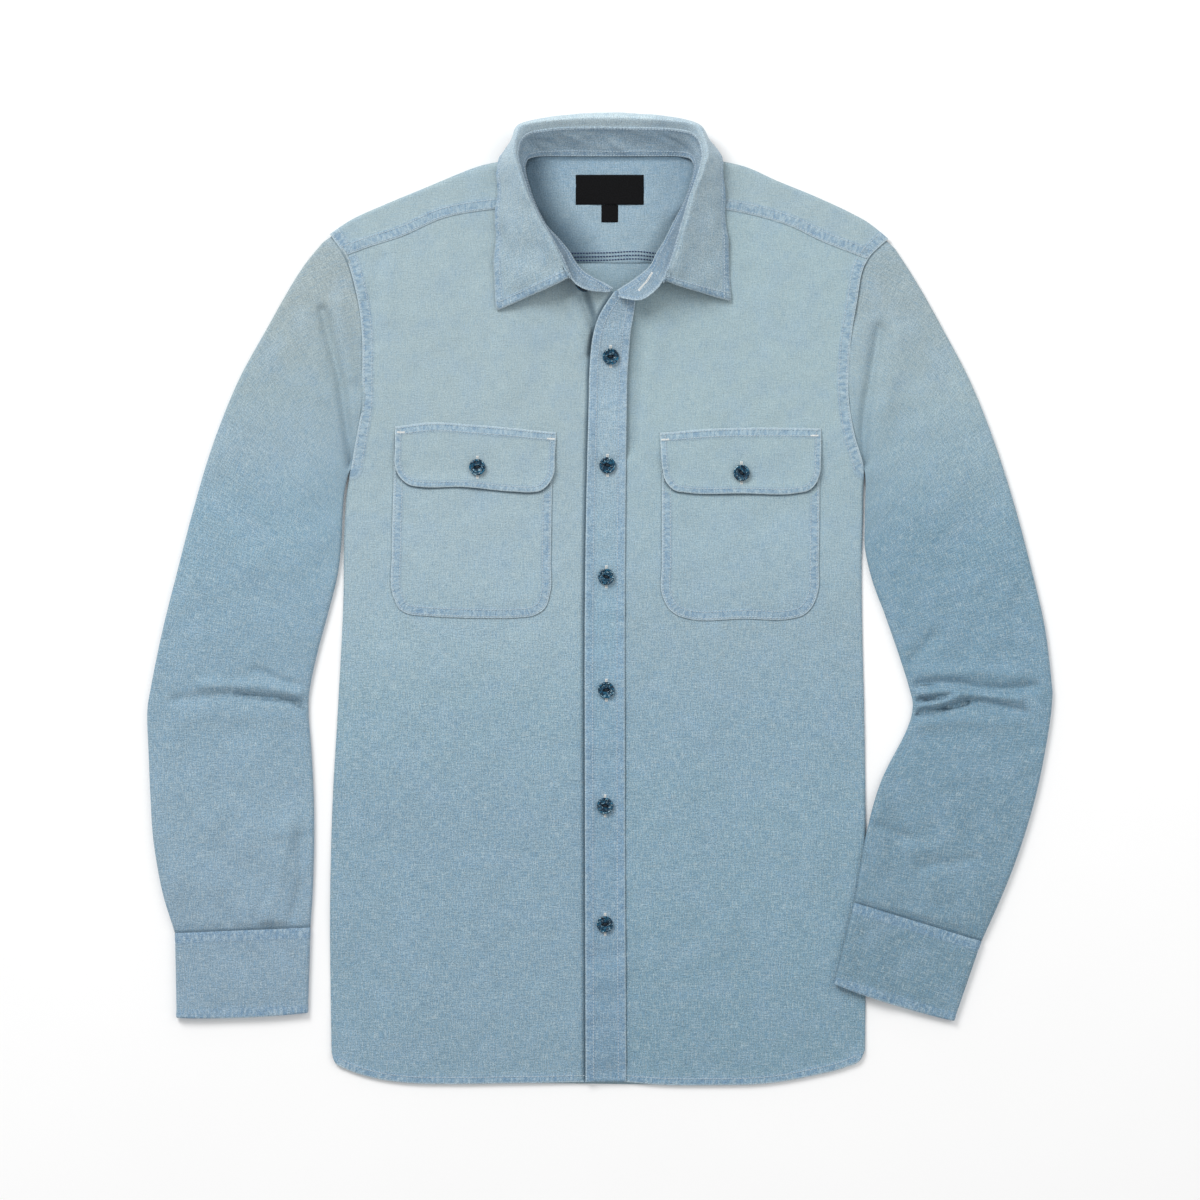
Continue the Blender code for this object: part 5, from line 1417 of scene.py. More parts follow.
def painted_shade_under_armhole(net, cut, armhole, outward):
    """Painted shade on a sleeve's cut, along the line where the body's edge lies on it: where x crosses the armhole's.
    """
    columns = np.arange(UPPER_SIDE.start, UPPER_SIDE.stop)
    x, y = net[:16, columns, 0], net[:16, columns, 1]
    edge_x = smooth(armhole, np.interp(y, *crossing(armhole)).ravel())[:, 0].reshape(y.shape)
    out = outward * (x - edge_x)
    row = np.clip(np.argmax(out >= 0, axis=0), 1, None)
    before, after = out[row - 1, range(len(columns))], out[row, range(len(columns))]
    part = np.clip(-before / np.maximum(after - before, 1e-6), 0.0, 1.0)
    place = [flat[row - 1, columns] * (1 - part) + flat[row, columns] * part for flat in cut]
    return painted_shade_beside(np.column_stack(place), 0.8)


def sleeve_cut(net):
    """A sleeve's cut: length round each ring from its middle, and length down the middle line."""
    across, _ = unrolled(net)
    middle = net[:, :len(net[0]) // 2].mean(axis=1)
    down = run_of(middle)
    return across - across[:, -1:] / 2, np.broadcast_to(-down[:, None], across.shape)


def painted_shade_at_cuff(cut):
    """Painted shade on a sleeve's cut, along the line where the cuff's edge lies on it."""
    end = cut[1].min() + INTO_CUFF
    return painted_shade_beside(np.array([(-300.0, end), (300.0, end)]), 0.7, 1.9)


def painted_crease_shades(net, cut, side):
    """Painted shade in the sharpest creases on a sleeve's cut, carried to the nearest points of its upper side."""
    flat = np.column_stack([part[:, UPPER_SIDE].ravel() for part in cut])
    x, y = net[:, UPPER_SIDE, 0], net[:, UPPER_SIDE, 1]
    for dark, places in PAINTED_CREASE_SHADE[side]:
        nearest = [np.hypot(x - place_x, y - place_y).argmin() for place_x, place_y in places]
        yield painted_shade_beside(line(flat[nearest], 30), dark, 1.9)


def sleeve_piece(side, table, armhole, outward, folds, base, material, rests_on, seed):
    """A sleeve with painted shade at its armhole, at its cuff and in its sharpest creases."""
    net = sleeve_net(table, armhole, outward, folds, base, seed)
    cut = sleeve_cut(net)
    obj, _ = cloth_piece(
        f"sleeve_{side}_cloth", net, CLOTH, material, "chambray", rests_on,
        [painted_shade_under_armhole(net, cut, armhole, outward), painted_shade_at_cuff(cut), *painted_crease_shades(net, cut, side)],
        cut, closed=True)
    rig.replaces(obj, f"sleeve_{side}")


sleeve_piece("right", RIGHT_SLEEVE, RIGHT_ARMHOLE, -1, RIGHT_SLEEVE_FOLDS, on_table, SLEEVE_RIGHT,
             ["the table"], 31)
sleeve_piece("left", LEFT_SLEEVE, LEFT_ARMHOLE, 1, LEFT_SLEEVE_FOLDS, lift, SLEEVE_LEFT_PAINTED_DARKER,
             ["the table", "front_left_cloth"], 41)

# %% Cuffs
SEAM_ABOVE = 2.0  # mm by which the upper seam's line lies outside the cuff, so no edge looks worn


def cuff_net(shape, base):
    """Rings from the seam to the cuff's open end, its long sides slightly bowed."""
    seam_outer, seam_inner, end_outer, end_inner = (np.array(p) for p in shape)
    down = unit(end_outer - seam_outer)
    rings = []
    for share in spread(np.linalg.norm(end_outer - seam_outer), 1.45):
        outer = seam_outer + (end_outer - seam_outer) * share
        inner = seam_inner + (end_inner - seam_inner) * share
        width = np.linalg.norm(inner - outer)
        around = ring(width, CUFF_HIGH, CUFF_OVER, CUFF_UNDER)
        part = around[:, :1] / width
        place = outer + (inner - outer) * part + down * CUFF_BOW * 4 * part * (1 - part) * share
        x, y = place[:, 0], place[:, 1]
        soft = uneven(x, y, 60.0, 0.25, 51) * ease(0.0, 9.0, np.minimum(part, 1 - part)[:, 0] * width)
        rings.append(np.column_stack([place, base(x, y) + around[:, 1] * (CUFF_HIGH + soft)]))
    return np.stack(rings)


def cuff_piece(name, shape, base, material, rests_on, seed):
    """A cuff with a seam at each end; their lines run past the cut so that no end shows."""
    net = cuff_net(shape, base)
    flat = unrolled(net)
    wide, long = flat[0].max(), flat[1].min()
    ends = [np.array([(-9.0, down), (wide + 9.0, down)]) for down in (SEAM_ABOVE, long)]
    seams = [seam_of("cuff_top", ends[0], seed), seam_of("cuff_end", ends[1], seed + 1)]
    obj, _ = cloth_piece(name, net, DOUBLED, material, "chambray_doubled", rests_on, seams, flat,
                         closed=True)
    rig.replaces(obj, name.replace("_cloth", ""))


cuff_piece("cuff_right_cloth", RIGHT_CUFF, on_table, SLEEVE_RIGHT, ["the table"], 21)
cuff_piece("cuff_left_cloth", LEFT_CUFF, lift, SLEEVE_LEFT_PAINTED_DARKER, ["the table", "front_left_cloth"], 23)

# %% [markdown]
# ## The collar
#
# The stand rises from the neck seam and leans outwards; the leaf is sewn to its upper edge, rolls
# over and falls to its outer edge. Both are tables of sections round the neck, joined by smooth
# curves.

# %% The stand
FACED_BACK = FACING_OVER - 0.3


def stand_edges():
    """The stand's lower and upper edge, one place for each section of the table."""
    rows = np.array(STAND)
    lower, upper = rows[:, :2], rows[:, 2:5]
    run = np.linalg.norm(upper[:, :2] - lower, axis=1)
    on_front = rows[:, 5]
    front_seat = front_top(lower[:, 0], lower[:, 1]) + rows[:, 6] * 0.8
    seat = on_front * front_seat + (1 - on_front) * FACED_BACK
    lean = run / np.hypot(run, upper[:, 2] - seat)
    return np.column_stack([lower, seat + DOUBLED * lean]), upper


def even_knots(points, step):
    """Sections that lie evenly along a smooth curve through the points."""
    fine = np.linspace(0.0, len(points) - 1, 800)
    return evenly(run_of(smooth(points, fine, np.arange(len(points)))), fine, step)


def smooth_across(path, where):
    """Smooths every section of a grid at once, its rows being the knots."""
    rows, columns = path.shape[:2]
    flat = smooth(path.reshape(rows, -1), where, np.arange(rows))
    return flat.reshape(len(where), columns, 3)


knots = np.arange(len(STAND))
lower, upper = stand_edges()
sections = even_knots(upper, 1.4)
low_edge, high_edge = smooth(lower, sections, knots), smooth(upper, sections, knots)
rise = spread(26.0, 1.3)[:, None, None]
net = low_edge + (high_edge - low_edge) * rise
along = unrolled(net)[0]
hollow = 1.1 * np.sin(math.pi * rise[..., 0]) ** 0.8  # the band bends back a little at its middle
soft = uneven(along, net[..., 2], 26.0, 0.60, 61) + uneven(along, net[..., 2], 12.0, 0.30, 62)
soft = soft * np.sin(math.pi * rise[..., 0])
net = pushed_out(net, soft - hollow)
across, down = unrolled(net)
across = np.broadcast_to(across[len(across) // 2], across.shape)
low_line = np.column_stack([across[0], down[0]])
high_line = np.column_stack([across[-1], down[-1]])
stand, stand_net = cloth_piece(
    "stand_cloth", net, DOUBLED, TRIM, "chambray_doubled",
    ["yoke_cloth", "front_right_cloth", "placket_cloth"],
    [seam_of("stand_low", low_line, 25), seam_of("stand_high", high_line, 26)],
    (across, down), turned=True)
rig.replaces(stand, "collar_stand")

# %% The leaf
LEAF_KNOTS = np.array([0, 0.5, 1, 1.5, 2.0, 2.5, 3.0, 4.0, 5.0, 6.0])
NECK_MIDDLE = 8.0, 300.0


def leaf_path(where):
    """From the stand's upper edge over the roll and down to the outer edge, for each section."""
    seam, below = smooth(upper, where, knots), smooth(lower, where, knots)
    onward = unit(seam - below)
    rows = smooth(LEAF, where, knots[FIRST_WITH_LEAF:LAST_WITH_LEAF + 1])
    roll, edge, belly = rows[:, 0:3], rows[:, 3:6], rows[:, 6:7]
    away = unit(np.hstack([roll[:, :2] - NECK_MIDDLE, np.zeros((len(roll), 1))]))
    behind = unit(np.cross(np.gradient(seam, axis=0), onward))
    behind = -behind * np.sign(behind[:, 2:])
    path = [seam - onward * 1.6 + behind, seam + onward * 1.6 + behind * 0.7, roll]
    for share in (0.2, 0.45, 0.72, 1.0):
        path.append(roll + (edge - roll) * share + away * belly * 4 * share * (1 - share))
    return np.stack(path)


leaf_sections = sections[(sections >= FIRST_WITH_LEAF) & (sections <= LAST_WITH_LEAF)]
count = COARSE * round(len(leaf_sections) / COARSE) + 1
leaf_sections = np.interp(shares(count), shares(len(leaf_sections)), leaf_sections)
leaf_sections[[0, -1]] = FIRST_WITH_LEAF, LAST_WITH_LEAF
path = leaf_path(leaf_sections)
net = smooth_across(path, np.interp(shares(61), shares(len(LEAF_KNOTS)), LEAF_KNOTS))
across, down = unrolled(net)
across, down = np.broadcast_to(across[-1], across.shape), down - down[-1]
outer_line = np.column_stack([across[-1], down[-1]])
first_line = np.column_stack([across[:, 0], down[:, 0]])
last_line = np.column_stack([across[:, -1], down[:, -1]])
from_roll = shares(61)[:, None]
x, y = net[..., 0], net[..., 1]
soft = uneven(x, y, 34.0, 0.55, 63) + uneven(x, y, 15.0, 0.2, 64)
soft = soft * ease(0.25, 0.5, from_roll) * (1 - 0.75 * ease(352.0, 366.0, y))
net = pushed_out(net, soft)
leaf, _ = cloth_piece(
    "collar_cloth", net, DOUBLED, COLLAR, "chambray_doubled",
    ["stand_cloth", "front_right_cloth", "front_left_cloth"],
    [seam_of("leaf", edge, seed) for edge, seed in ((outer_line, 27), (first_line, 28), (last_line, 29))],
    (across, down), held="folded", turned=True)
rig.replaces(leaf, "collar")

# %% [markdown]
# ## Pockets and flaps
#
# A pocket is a patch sewn on round three sides; its flap is sewn above it and lies over its
# mouth. The flap's loose edge stands off a little and casts a line of shadow, which is also
# painted on the pocket under it.

# %% Pockets and flaps
POCKET_OVER, FLAP_OVER = 0.70, 0.75  # mm over the front at their edges
POCKET_RISE, FLAP_RISE, FLAP_CURL = 0.55, 1.3, 1.5  # and how much more inside them
FLAP_CLOTH = 0.9


def pocket_piece(side, shape, flap, material, seed):
    """A pocket, sewn on round three sides, with a painted shadow under its flap's edge."""
    shape = rounded(shape)
    net = patch(*shape, spread(126.0), spread(146.0))
    x, y = net[..., 0], net[..., 1]
    edge = sewn_edge(shape)
    off, _ = measure(edge, x, y)
    height = front_top(x, y) + POCKET_OVER + POCKET_RISE * ease(0.0, 14.0, off)
    height = height + 0.6 * uneven(x, y, 45.0, 0.35, seed) * ease(4.0, 20.0, off)
    obj, _ = cloth_piece(
        f"pocket_{side}_cloth", raised(net, height), CLOTH, material, "chambray",
        [f"front_{side}_cloth"],
        [painted_shade_beside(sewn_edge(rounded(flap)), 0.9, 1.6), seam_of("pocket", edge, seed)])
    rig.replaces(obj, f"pocket_{side}")


def flap_piece(side, shape, material, seed):
    """A flap, sewn along its top, whose loose edge curls off the pocket."""
    shape = rounded(shape)
    net = patch(*shape, spread(127.0), spread(48.0))
    x, y = net[..., 0], net[..., 1]
    from_top = np.linalg.norm(net - net[:1], axis=2)
    loose = sewn_edge(shape)
    off, _ = measure(loose, x, y)
    curl = FLAP_CURL * (1 - ease(0.0, 14.0, off)) * ease(6.0, 24.0, from_top)
    height = front_top(x, y) + FLAP_OVER + FLAP_RISE * ease(0.5, 7.0, from_top) + curl
    height = height + uneven(x, y, 30.0, 0.22, seed)
    obj, _ = cloth_piece(
        f"flap_{side}_cloth", raised(net, height), FLAP_CLOTH, material, "chambray_doubled",
        [f"pocket_{side}_cloth", f"front_{side}_cloth"],
        [seam_of("flap_top", shape.top, seed), seam_of("flap_edge", loose, seed + 1)])
    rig.replaces(obj, f"flap_{side}")


pocket_piece("right", RIGHT_POCKET, RIGHT_FLAP, BODY_RIGHT, 71)
pocket_piece("left", LEFT_POCKET, LEFT_FLAP, BODY_LEFT_PAINTED_DARKER, 73)
flap_piece("right", RIGHT_FLAP, BODY_RIGHT, 75)
flap_piece("left", LEFT_FLAP, BODY_LEFT_PAINTED_DARKER, 77)

# %% [markdown]
# ## Stitches
#
# Every row is real thread: short capsules laid on the cloth, one for each stitch. A place on a
# piece's flat cut is carried to the finished surface, so a row follows its seam wherever that
# goes. Real stitches are 2.2 to 2.6 mm long, and so are these.

# %% From a place on the cut to the surface
NEAR = 0.5  # mm by which a place may miss the cut and still count


def surface_of(net, flat):
    """The cut as a flat tree to search, and the grid's points in 3-D."""
    index = quads(np.arange(net[..., 0].size).reshape(net.shape[:2]))
    level = np.column_stack([flat.reshape(-1, 2), np.zeros(flat[..., 0].size)])
    return BVHTree.FromPolygons(level.tolist(), index.tolist()), index, level[:, :2], net.reshape(-1, 3)


def on_surface(surface, places):
    """3-D places and upward normals for places on the cut, by the grid cell that each lies in."""
    tree, index, level, points = surface
    hits = [tree.find_nearest((x, y, 0.0), NEAR)[2] for x, y in places]
    found = np.array([hit is not None for hit in hits])
    cell = index[[hit or 0 for hit in hits]]
    a, b, c, d = (level[cell[:, i]] for i in range(4))
    across, down, off = b - a, d - a, np.asarray(places) - a
    size = across[:, 0] * down[:, 1] - across[:, 1] * down[:, 0]
    size = np.where(np.abs(size) < 1e-9, 1e-9, size)
    u = (off[:, 0] * down[:, 1] - off[:, 1] * down[:, 0]) / size
    v = (across[:, 0] * off[:, 1] - across[:, 1] * off[:, 0]) / size
    u, v = np.clip(u, 0, 1)[:, None], np.clip(v, 0, 1)[:, None]
    a, b, c, d = (points[cell[:, i]] for i in range(4))
    place = a * (1 - u) * (1 - v) + b * u * (1 - v) + c * u * v + d * (1 - u) * v
    normal = unit(np.cross(c - a, d - b))
    return place, normal * np.where(normal[:, 2:] < 0, -1, 1), found


# %% Thread
THREAD_SIDES = 5
THREAD_RINGS = (  # share of the stitch, width and height in radii of the thread
    (0.0, 0.5, -0.4), (0.16, 1.0, 0.35), (0.5, 1.05, 0.6), (0.84, 1.0, 0.35), (1.0, 0.5, -0.4))


def capsules(start, end, normal, radius):
    """One closed capsule per stitch: rings of five points, arched off the cloth along the normal."""
    along = end - start
    side = unit(np.cross(normal, along))
    turn = np.arange(THREAD_SIDES) * 2 * math.pi / THREAD_SIDES
    rings = []
    for share, wide, high in THREAD_RINGS:
        middle = start + along * share + normal * radius * high
        round_it = (np.cos(turn)[None, :, None] * side[:, None]
                    + np.sin(turn)[None, :, None] * normal[:, None])
        rings.append(middle[:, None] + radius * wide * round_it)
    points = np.stack(rings, axis=1)  # stitch, ring, side, xyz
    per_stitch = len(THREAD_RINGS) * THREAD_SIDES
    index = np.arange(per_stitch).reshape(len(THREAD_RINGS), THREAD_SIDES)
    index = np.hstack([index, index[:, :1]])
    first = (np.arange(len(start)) * per_stitch)[:, None, None]
    around = (first + quads(index)[None, :, ::-1]).reshape(-1, 4)
    caps = np.stack([index[0, :-1], index[-1, :-1][::-1]])
    return points.reshape(-1, 3), [around, (first + caps[None]).reshape(-1, THREAD_SIDES)]


def stitches_along(surface, row, pitch, gap=0.5):
    """Stitches along a row on the cut: where each starts and ends, and the normal there."""
    run = run_of(row)
    first = np.arange(0.0, run[-1] - pitch, pitch)
    ends = []
    for at in (first + gap / 2, first + pitch - gap / 2, first + pitch / 2):
        places = np.column_stack([np.interp(at, run, row[:, 0]), np.interp(at, run, row[:, 1])])
        ends.append(on_surface(surface, places))
    (start, _, a), (end, _, b), (_, normal, c) = ends
    size = np.linalg.norm(end - start, axis=1)
    good = a & b & c & (size > 0.5 * (pitch - gap)) & (size < 1.6 * pitch)
    return start[good], end[good], normal[good]


def thread_finish(name, colour, dark):
    """Twisted thread: fine slanting ridges of a darker shade, matte with a faint sheen."""
    material, tree, shader = material_of(name, Roughness=0.7, Sheen_Weight=0.2, Specular_IOR_Level=0.3)
    place = add(tree, "ShaderNodeTexCoord").outputs["Object"]
    ply = add(tree, "ShaderNodeTexNoise", {"Scale": 900.0, "Detail": 1.0}, {"Vector": place})
    shade = add(tree, "ShaderNodeMix", {"data_type": "RGBA", 6: srgb(colour), 7: srgb(dark)},
                {0: ply.outputs["Fac"]})
    tree.links.new(shade.outputs[2], shader.inputs["Base Color"])
    return material


THREADS = {  # stitch radius in mm and finish
    "pale": (0.33, thread_finish("pale_topstitching_thread", "#c6d3da", "#a6bac6")),
    "white": (0.26, thread_finish("white_thread", "#f0f1ee", "#c9cdcc")),
    "navy": (0.50, thread_finish("navy_thread", "#22386a", "#132244")),
    "dark": (0.30, thread_finish("dark_button_thread", "#1c2c3c", "#0c141c")),
}


def sew(name, parts, kind, slot="chambray"):
    """One object of thread from lists of (start, end, normal)."""
    start, end, normal = (np.vstack([part[i] for part in parts]) for i in range(3))
    radius, finish = THREADS[kind]
    points, faces = capsules(start, end, normal, radius)
    obj = piece_of(name, points, faces, finish)
    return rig.slot(obj, slot)


# %% Topstitching along every seam
STITCH = 2.4  # mm from one stitch to the next


def rows_beside(seam):
    """Lines at the seam's stitch rows, on both sides of it, without the parts that cut a corner."""
    outline = seam.line
    across = unit(np.gradient(outline, axis=0))[:, ::-1] * (-1, 1)
    for row in seam.rows:
        for way in (1, -1):
            moved = outline + way * row * across
            off, _ = measure(outline, moved[:, 0], moved[:, 1])
            yield moved[off > row - 0.25]


thread_of = {}  # the objects of thread that hold on to each piece
surfaces = {}
for name, obj, net, flat, seams, slot in sewn:
    parts = []
    surfaces[name] = surface_of(net, flat)
    for seam in seams:
        for row in rows_beside(seam):
            if len(row) > 3:
                parts.append(stitches_along(surfaces[name], row, STITCH))
    if parts:
        thread_of.setdefault(obj.name, []).append(sew(f"{name}_stitches", parts, "pale", slot))
print("rows of topstitching on", len(thread_of), "pieces")


# %% The triple row inside the yoke
FIRST_ROW_Y, ROW_STEP = 277.4, 2.9  # mm: the upper row, and from one row to the next
ROW = ((-60.0, -0.6), (-27.0, -0.2), (7.0, 0.3), (31.0, 1.2), (46.0, -0.3), (78.0, -1.0))
navy = []
for number in range(3):
    row = [(x, FIRST_ROW_Y - ROW_STEP * number + y) for x, y in ROW]
    navy.append(stitches_along(surfaces["yoke_facing"], line(row), 2.3, 0.45))
thread_of["yoke_facing"] = [sew("yoke_facing_rows", navy, "navy", "chambray_doubled")]

# %% [markdown]
# ## Buttons, buttonholes and bar tacks
#
# The buttons are turned resin, 13 mm across, with a raised rim and a cat's eye: a lens-shaped
# hollow with two holes. They stand on the cloth over buttonholes of white satin stitch.

# %% Buttonholes and bar tacks
def satin(surface, start, end, wide, pitch):
    """Dense stitches across a line: a bar tack, or one leg of a buttonhole."""
    start, end = np.array(start, float), np.array(end, float)
    along = end - start
    size = np.linalg.norm(along)
    side = np.array([-along[1], along[0]]) / size * wide / 2
    middle = start + np.arange(0.0, 1.0, pitch / size)[:, None] * along
    a, _, _ = on_surface(surface, middle + side)
    b, _, _ = on_surface(surface, middle - side)
    _, normal, _ = on_surface(surface, middle)
    return a, b, normal


LEG_OFF, LEG_WIDE, SATIN_STEP = 0.55, 0.95, 0.42  # mm: a leg's place and width, and its stitches'
BAR_HALF, BAR_WIDE = 0.95, 1.2  # mm: half a bar's length, and its width


def buttonhole(surface, middle, long, turn=90.0):
    """Two legs of satin stitch with a slit between them, and a bar across each end."""
    along = np.array([math.cos(math.radians(turn)), math.sin(math.radians(turn))])
    side = np.array([-along[1], along[0]])
    middle = np.array(middle, float)
    half = along * long / 2
    parts = []
    for way in (-1, 1):
        leg = middle + way * side * LEG_OFF
        parts.append(satin(surface, leg - half, leg + half, LEG_WIDE, SATIN_STEP))
    for way in (-1, 1):
        bar = middle + way * along * (long / 2 + 0.2)
        parts.append(satin(surface, bar - side * BAR_HALF, bar + side * BAR_HALF, BAR_WIDE, SATIN_STEP))
    return parts


BUTTONHOLE = 16.8  # mm long
COLLAR_HOLE = ((42.0, 260.8), (31.6, 247.6))
BAR_TACKS = {
    "flap_right_cloth": (((-162.0, 134.0), (-156.0, 134.0)), ((-42.0, 128.8), (-36.0, 128.6))),
    "flap_left_cloth": (((49.2, 128.0), (55.4, 128.2)), ((168.4, 131.2), (174.4, 131.2))),
}
holes = []
for place in FRONT_BUTTONS:
    holes += buttonhole(surfaces["placket_cloth"], place, BUTTONHOLE)
thread_of["placket_cloth"].append(sew("placket_buttonholes", holes, "white", "chambray_doubled"))
for side, place in (("right", RIGHT_FLAP_BUTTON), ("left", LEFT_FLAP_BUTTON)):
    piece = f"flap_{side}_cloth"
    parts = buttonhole(surfaces[piece], place, BUTTONHOLE)
    parts += [satin(surfaces[piece], start, end, 1.6, 0.45) for start, end in BAR_TACKS[piece]]
    thread_of[piece].append(sew(f"flap_{side}_white_stitches", parts, "white", "chambray_doubled"))
print("white stitches in the band:", sum(len(part[0]) for part in holes))

# The collar button's hole lies along the stand's end; its ends are found on the stand's cut.
stand_cut_net, stand_cut = next(entry[2:4] for entry in sewn if entry[0] == "stand_cloth")
ends = []
for x, y in COLLAR_HOLE:
    nearest = np.hypot(stand_cut_net[..., 0] - x, stand_cut_net[..., 1] - y).argmin()
    ends.append(stand_cut.reshape(-1, 2)[nearest])
middle, along = (ends[0] + ends[1]) / 2, ends[1] - ends[0]
turn = math.degrees(math.atan2(along[1], along[0]))
holes = buttonhole(surfaces["stand_cloth"], middle, np.linalg.norm(along), turn)
thread_of["stand_cloth"].append(sew("stand_buttonhole", holes, "white", "chambray_doubled"))

# %% Marbled resin
def resin():
    """Polished resin: navy swirled with teal, with a few pale flecks, under a clear gloss. The eye
    is painted dark as shade, and all below the rim's top a little darker, which leaves a painted
    highlight on the rim."""
    material, tree, shader = material_of(
        "marbled_resin", Roughness=0.12, Coat_Weight=0.2, Coat_Roughness=0.05, Specular_IOR_Level=0.25)
    place = add(tree, "ShaderNodeTexCoord").outputs["Object"]
    swirl = add(tree, "ShaderNodeTexNoise", {"Scale": 260.0, "Detail": 3.0, "Distortion": 2.2},
                {"Vector": place}).outputs["Fac"]
    flecks = add(tree, "ShaderNodeTexNoise", {"Scale": 700.0, "Detail": 1.0, "Distortion": 1.0},
                 {"Vector": place}).outputs["Fac"]
    face = add(tree, "ShaderNodeAttribute", {"attribute_name": "face"}).outputs["Vector"]
    high = add(tree, "ShaderNodeSeparateXYZ", None, {0: face}).outputs["Z"]
    navy = add(tree, "ShaderNodeRGB")
    navy.outputs[0].default_value = srgb("#062438")
    colour = navy.outputs[0]
    # The last two tints are painted shade in the eye and holes, and darker below the rim's top for a painted highlight
    # on it.
    for other, value, low, high_value, most in (
            ("#1c6586", swirl, 0.46, 0.62, 0.95), ("#b4d6e2", flecks, 0.60, 0.70, 0.85),
            ("#02080d", high, 1.75, 1.35, 0.9), ("#0d2c40", high, 2.90, 2.6, 0.35)):
        colour = tint(tree, colour, srgb(other), share_of(tree, value, low, high_value, most))
    tree.links.new(colour, shader.inputs["Base Color"])
    return material


RESIN = resin()
RIM, DISH = 6.5, 4.7  # mm from the middle: the button's edge, and where its dish ends
HOLE_OFF, HOLE_WIDE = 1.5, 0.8
STRAND_OFF, STRAND_HIGH = 0.26, 1.35  # where the two strands of thread lie in the eye
BUTTON_SIDES = 56


def button_top(x, y):
    """Height of a button's face: a rounded rim, a shallow dish, the cat's eye and two holes."""
    r = np.hypot(x, y)
    dish = 1.85 + 0.25 * (r / DISH) ** 2
    rim = 2.25 + 0.75 * np.sqrt(np.clip(1 - ((r - 5.6) / 1.0) ** 2, 0.0, 1.0))
    high = dish + (rim - dish) * ease(DISH, DISH + 0.55, r)
    eye = 1.45 * np.clip(1 - (x / 3.7) ** 2, 0.0, 1.0)
    high = high - 0.75 * (1 - ease(-0.35, 0.2, np.abs(y) - eye))
    for way in (-1, 1):
        high = high - 1.0 * (1 - ease(0.45, HOLE_WIDE, np.hypot(x - way * HOLE_OFF, y)))
    return high


def button_points():
    """Rings from the middle of the face out to the rim, down its side and in underneath."""
    turn = np.arange(BUTTON_SIDES) * 2 * math.pi / BUTTON_SIDES
    face = np.concatenate([np.linspace(0.15, 3.2, 15), np.linspace(3.45, RIM, 12)])
    x, y = face[:, None] * np.cos(turn), face[:, None] * np.sin(turn)
    top = np.stack([x, y, button_top(x, y)], axis=2)
    under = [np.stack([r * np.cos(turn), r * np.sin(turn), np.full_like(turn, z)], axis=1)
             for r, z in ((6.55, 1.5), (6.2, 0.7), (5.2, 0.15), (3.0, 0.0), (0.2, 0.0))]
    return np.concatenate([top, np.stack(under)])


FACE = button_points()
index = np.arange(FACE[..., 0].size).reshape(FACE.shape[:2])
faces_round = quads(np.hstack([index, index[:, :1]]))[:, ::-1]
caps = [index[:1], index[-1:, ::-1]]


def button(node, seat, normal, turn):
    """A button on its seat: turned about its axis, tilted to the cloth, with thread in its eye."""
    normal = unit(normal)
    flat = np.array([math.cos(turn), math.sin(turn), 0.0])
    across = unit(flat - normal * (flat @ normal))
    axes = np.stack([across, np.cross(normal, across), normal])
    points = FACE.reshape(-1, 3) @ axes + seat
    obj = piece_of(f"{node}_resin", points, [faces_round, *caps], RESIN, {"face": FACE})
    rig.slot(obj, "button")
    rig.replaces(obj, node)
    strands = [[(x, way * STRAND_OFF, STRAND_HIGH) for way in (-1, 1)] for x in (-HOLE_OFF, HOLE_OFF)]
    start, end = (np.array(places) @ axes + seat for places in strands)
    return start, end, np.broadcast_to(normal, start.shape)


SHANK = 0.25  # the thread lifts a button this far off the cloth
SEAT_RADIUS = 5.0  # the cloth is measured this far round a button, to seat it
TURNS = (0.05, -0.1, -0.35, 0.2, -0.2, 0.15)  # radians, by which each front button is turned
seats, threads_in_eyes = [], []
for number, (place, turn) in enumerate(zip(FRONT_BUTTONS, TURNS), start=1):
    seats.append((f"button_front_{number}", surfaces["placket_cloth"], place, turn))
seats.append(("button_flap_right", surfaces["flap_right_cloth"], RIGHT_FLAP_BUTTON, 0.1))
seats.append(("button_flap_left", surfaces["flap_left_cloth"], LEFT_FLAP_BUTTON, -0.65))
for node, surface, (x, y), turn in seats:
    round_it = [(x + SEAT_RADIUS * math.cos(a), y + SEAT_RADIUS * math.sin(a))
                for a in np.radians(range(0, 360, 45))]
    ring_places, ring_normals, _ = on_surface(surface, round_it)
    seat = np.array([x, y, ring_places[:, 2].mean() + SHANK + 0.2])
    threads_in_eyes.append(button(node, seat, ring_normals.mean(axis=0), turn))
# The collar button is under the stand's right end.
COLLAR_BUTTON_SECTION, COLLAR_BUTTON_SHARE = 2.6, 0.6
column = int(np.argmin(np.abs(sections - COLLAR_BUTTON_SECTION)))
row = int(COLLAR_BUTTON_SHARE * (len(stand_net) - 1))
inner, below_it = stand_net[row, column], normals_of(stand_net)[row, column]
below_it = below_it * (-1 if below_it[2] > 0 else 1)
threads_in_eyes.append(button("button_collar", inner + below_it * (DOUBLED + SHANK), below_it, 0.0))
sew("button_threads", threads_in_eyes, "dark", "button")

# %% [markdown]
# ## Labels
#
# The neck label is black damask tape, folded under at its ends and sewn along them; a small tab
# hangs from its lower edge. Both are left blank.

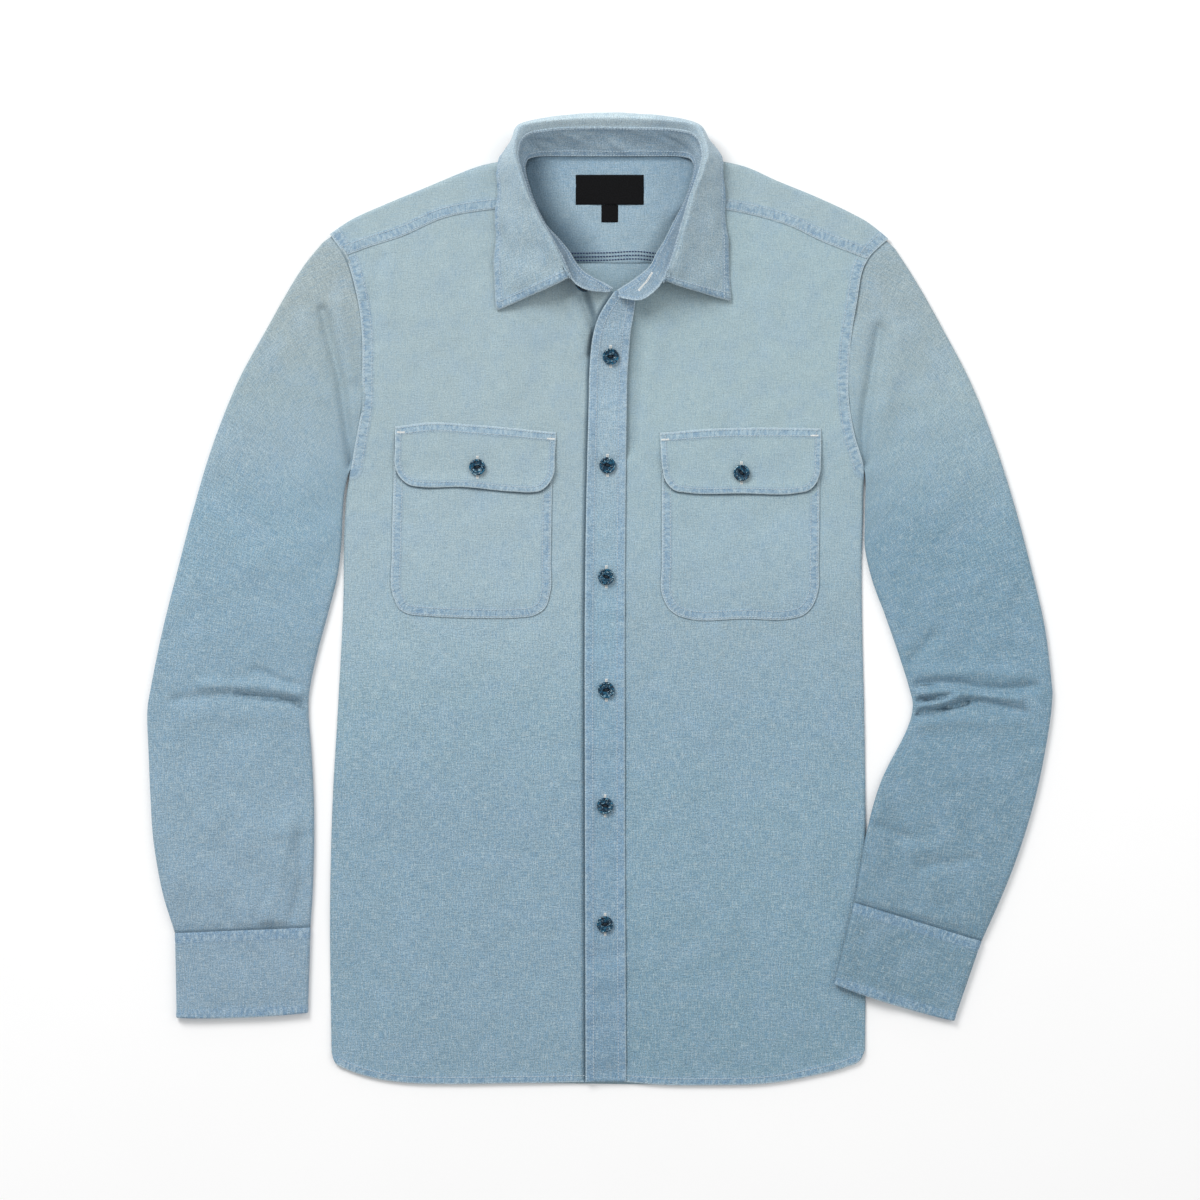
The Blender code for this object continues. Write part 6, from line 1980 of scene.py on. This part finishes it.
# %% Labels
def tape():
    """Black woven tape: fine crossed ribs and a faint satin sheen."""
    material, tree, shader = material_of("black_woven_tape", Roughness=0.8, Specular_IOR_Level=0.1)
    cut = add(tree, "ShaderNodeAttribute", {"attribute_name": "weave"}).outputs["Vector"]
    ribs = add(tree, "ShaderNodeTexNoise", {"Scale": 1300.0, "Detail": 1.0}, {"Vector": cut})
    ribs = ribs.outputs["Fac"]
    black = add(tree, "ShaderNodeRGB")
    black.outputs[0].default_value = srgb("#0b0b0c")
    colour = tint(tree, black.outputs[0], srgb("#19191b"), share_of(tree, ribs, 0.4, 0.7))
    tree.links.new(colour, shader.inputs["Base Color"])
    bump = add(tree, "ShaderNodeBump", {"Strength": 0.3, "Distance": 0.0002}, {"Height": ribs})
    tree.links.new(bump.outputs[0], shader.inputs["Normal"])
    return material


TAPE = tape()
LABEL_OVER = FACING_OVER + 0.75
TAB_DROP = -0.35  # the tab lies lower than the label, under its edge
x, y = LABEL_AT
high = LABEL_SIZE[1]
TAPES = (  # node, width, top, bottom, columns, rows, height
    ("label", LABEL_SIZE[0], y + high / 2, y - high / 2, 41, 25, LABEL_OVER),
    ("label_tab", LABEL_TAB_SIZE[0], y - high / 2 - 0.1, y - high / 2 - LABEL_TAB_SIZE[1], 17, 17,
     LABEL_OVER + TAB_DROP),
)
for node, wide, top, low, columns, rows, over in TAPES:
    left, right = x - wide / 2, x + wide / 2
    u, v = np.meshgrid(np.linspace(left, right, columns), np.linspace(top, low, rows))
    rise = 0.25 * np.sin(math.pi * (u - left) / (right - left)) + uneven(u, v, 22.0, 0.08, 91)
    obj, _ = cloth_piece(f"{node}_tape", np.stack([u, v, over + rise], axis=2), 0.4, TAPE,
                         "label", ["yoke_facing"])
    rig.replaces(obj, node)
print("pieces of tape:", len(TAPES))

# %% [markdown]
# ## Flat sizes and the box
#
# Each piece of cloth states the size it was cut to.

for entry in declared:
    obj = entry.pop("obj")
    entry["rests_on"] = [name for name in entry["rests_on"] if name != "the table"]
    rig.sheet(obj, **entry, with_pieces=thread_of.get(obj.name, ()))
made_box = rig.bounds()
with open("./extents.json", "w") as out:
    json.dump([[list(corner) for corner in box] for box in (cad_box, made_box)], out)
print("box, mm:", [[round(v * 1000, 1) for v in corner] for corner in made_box])
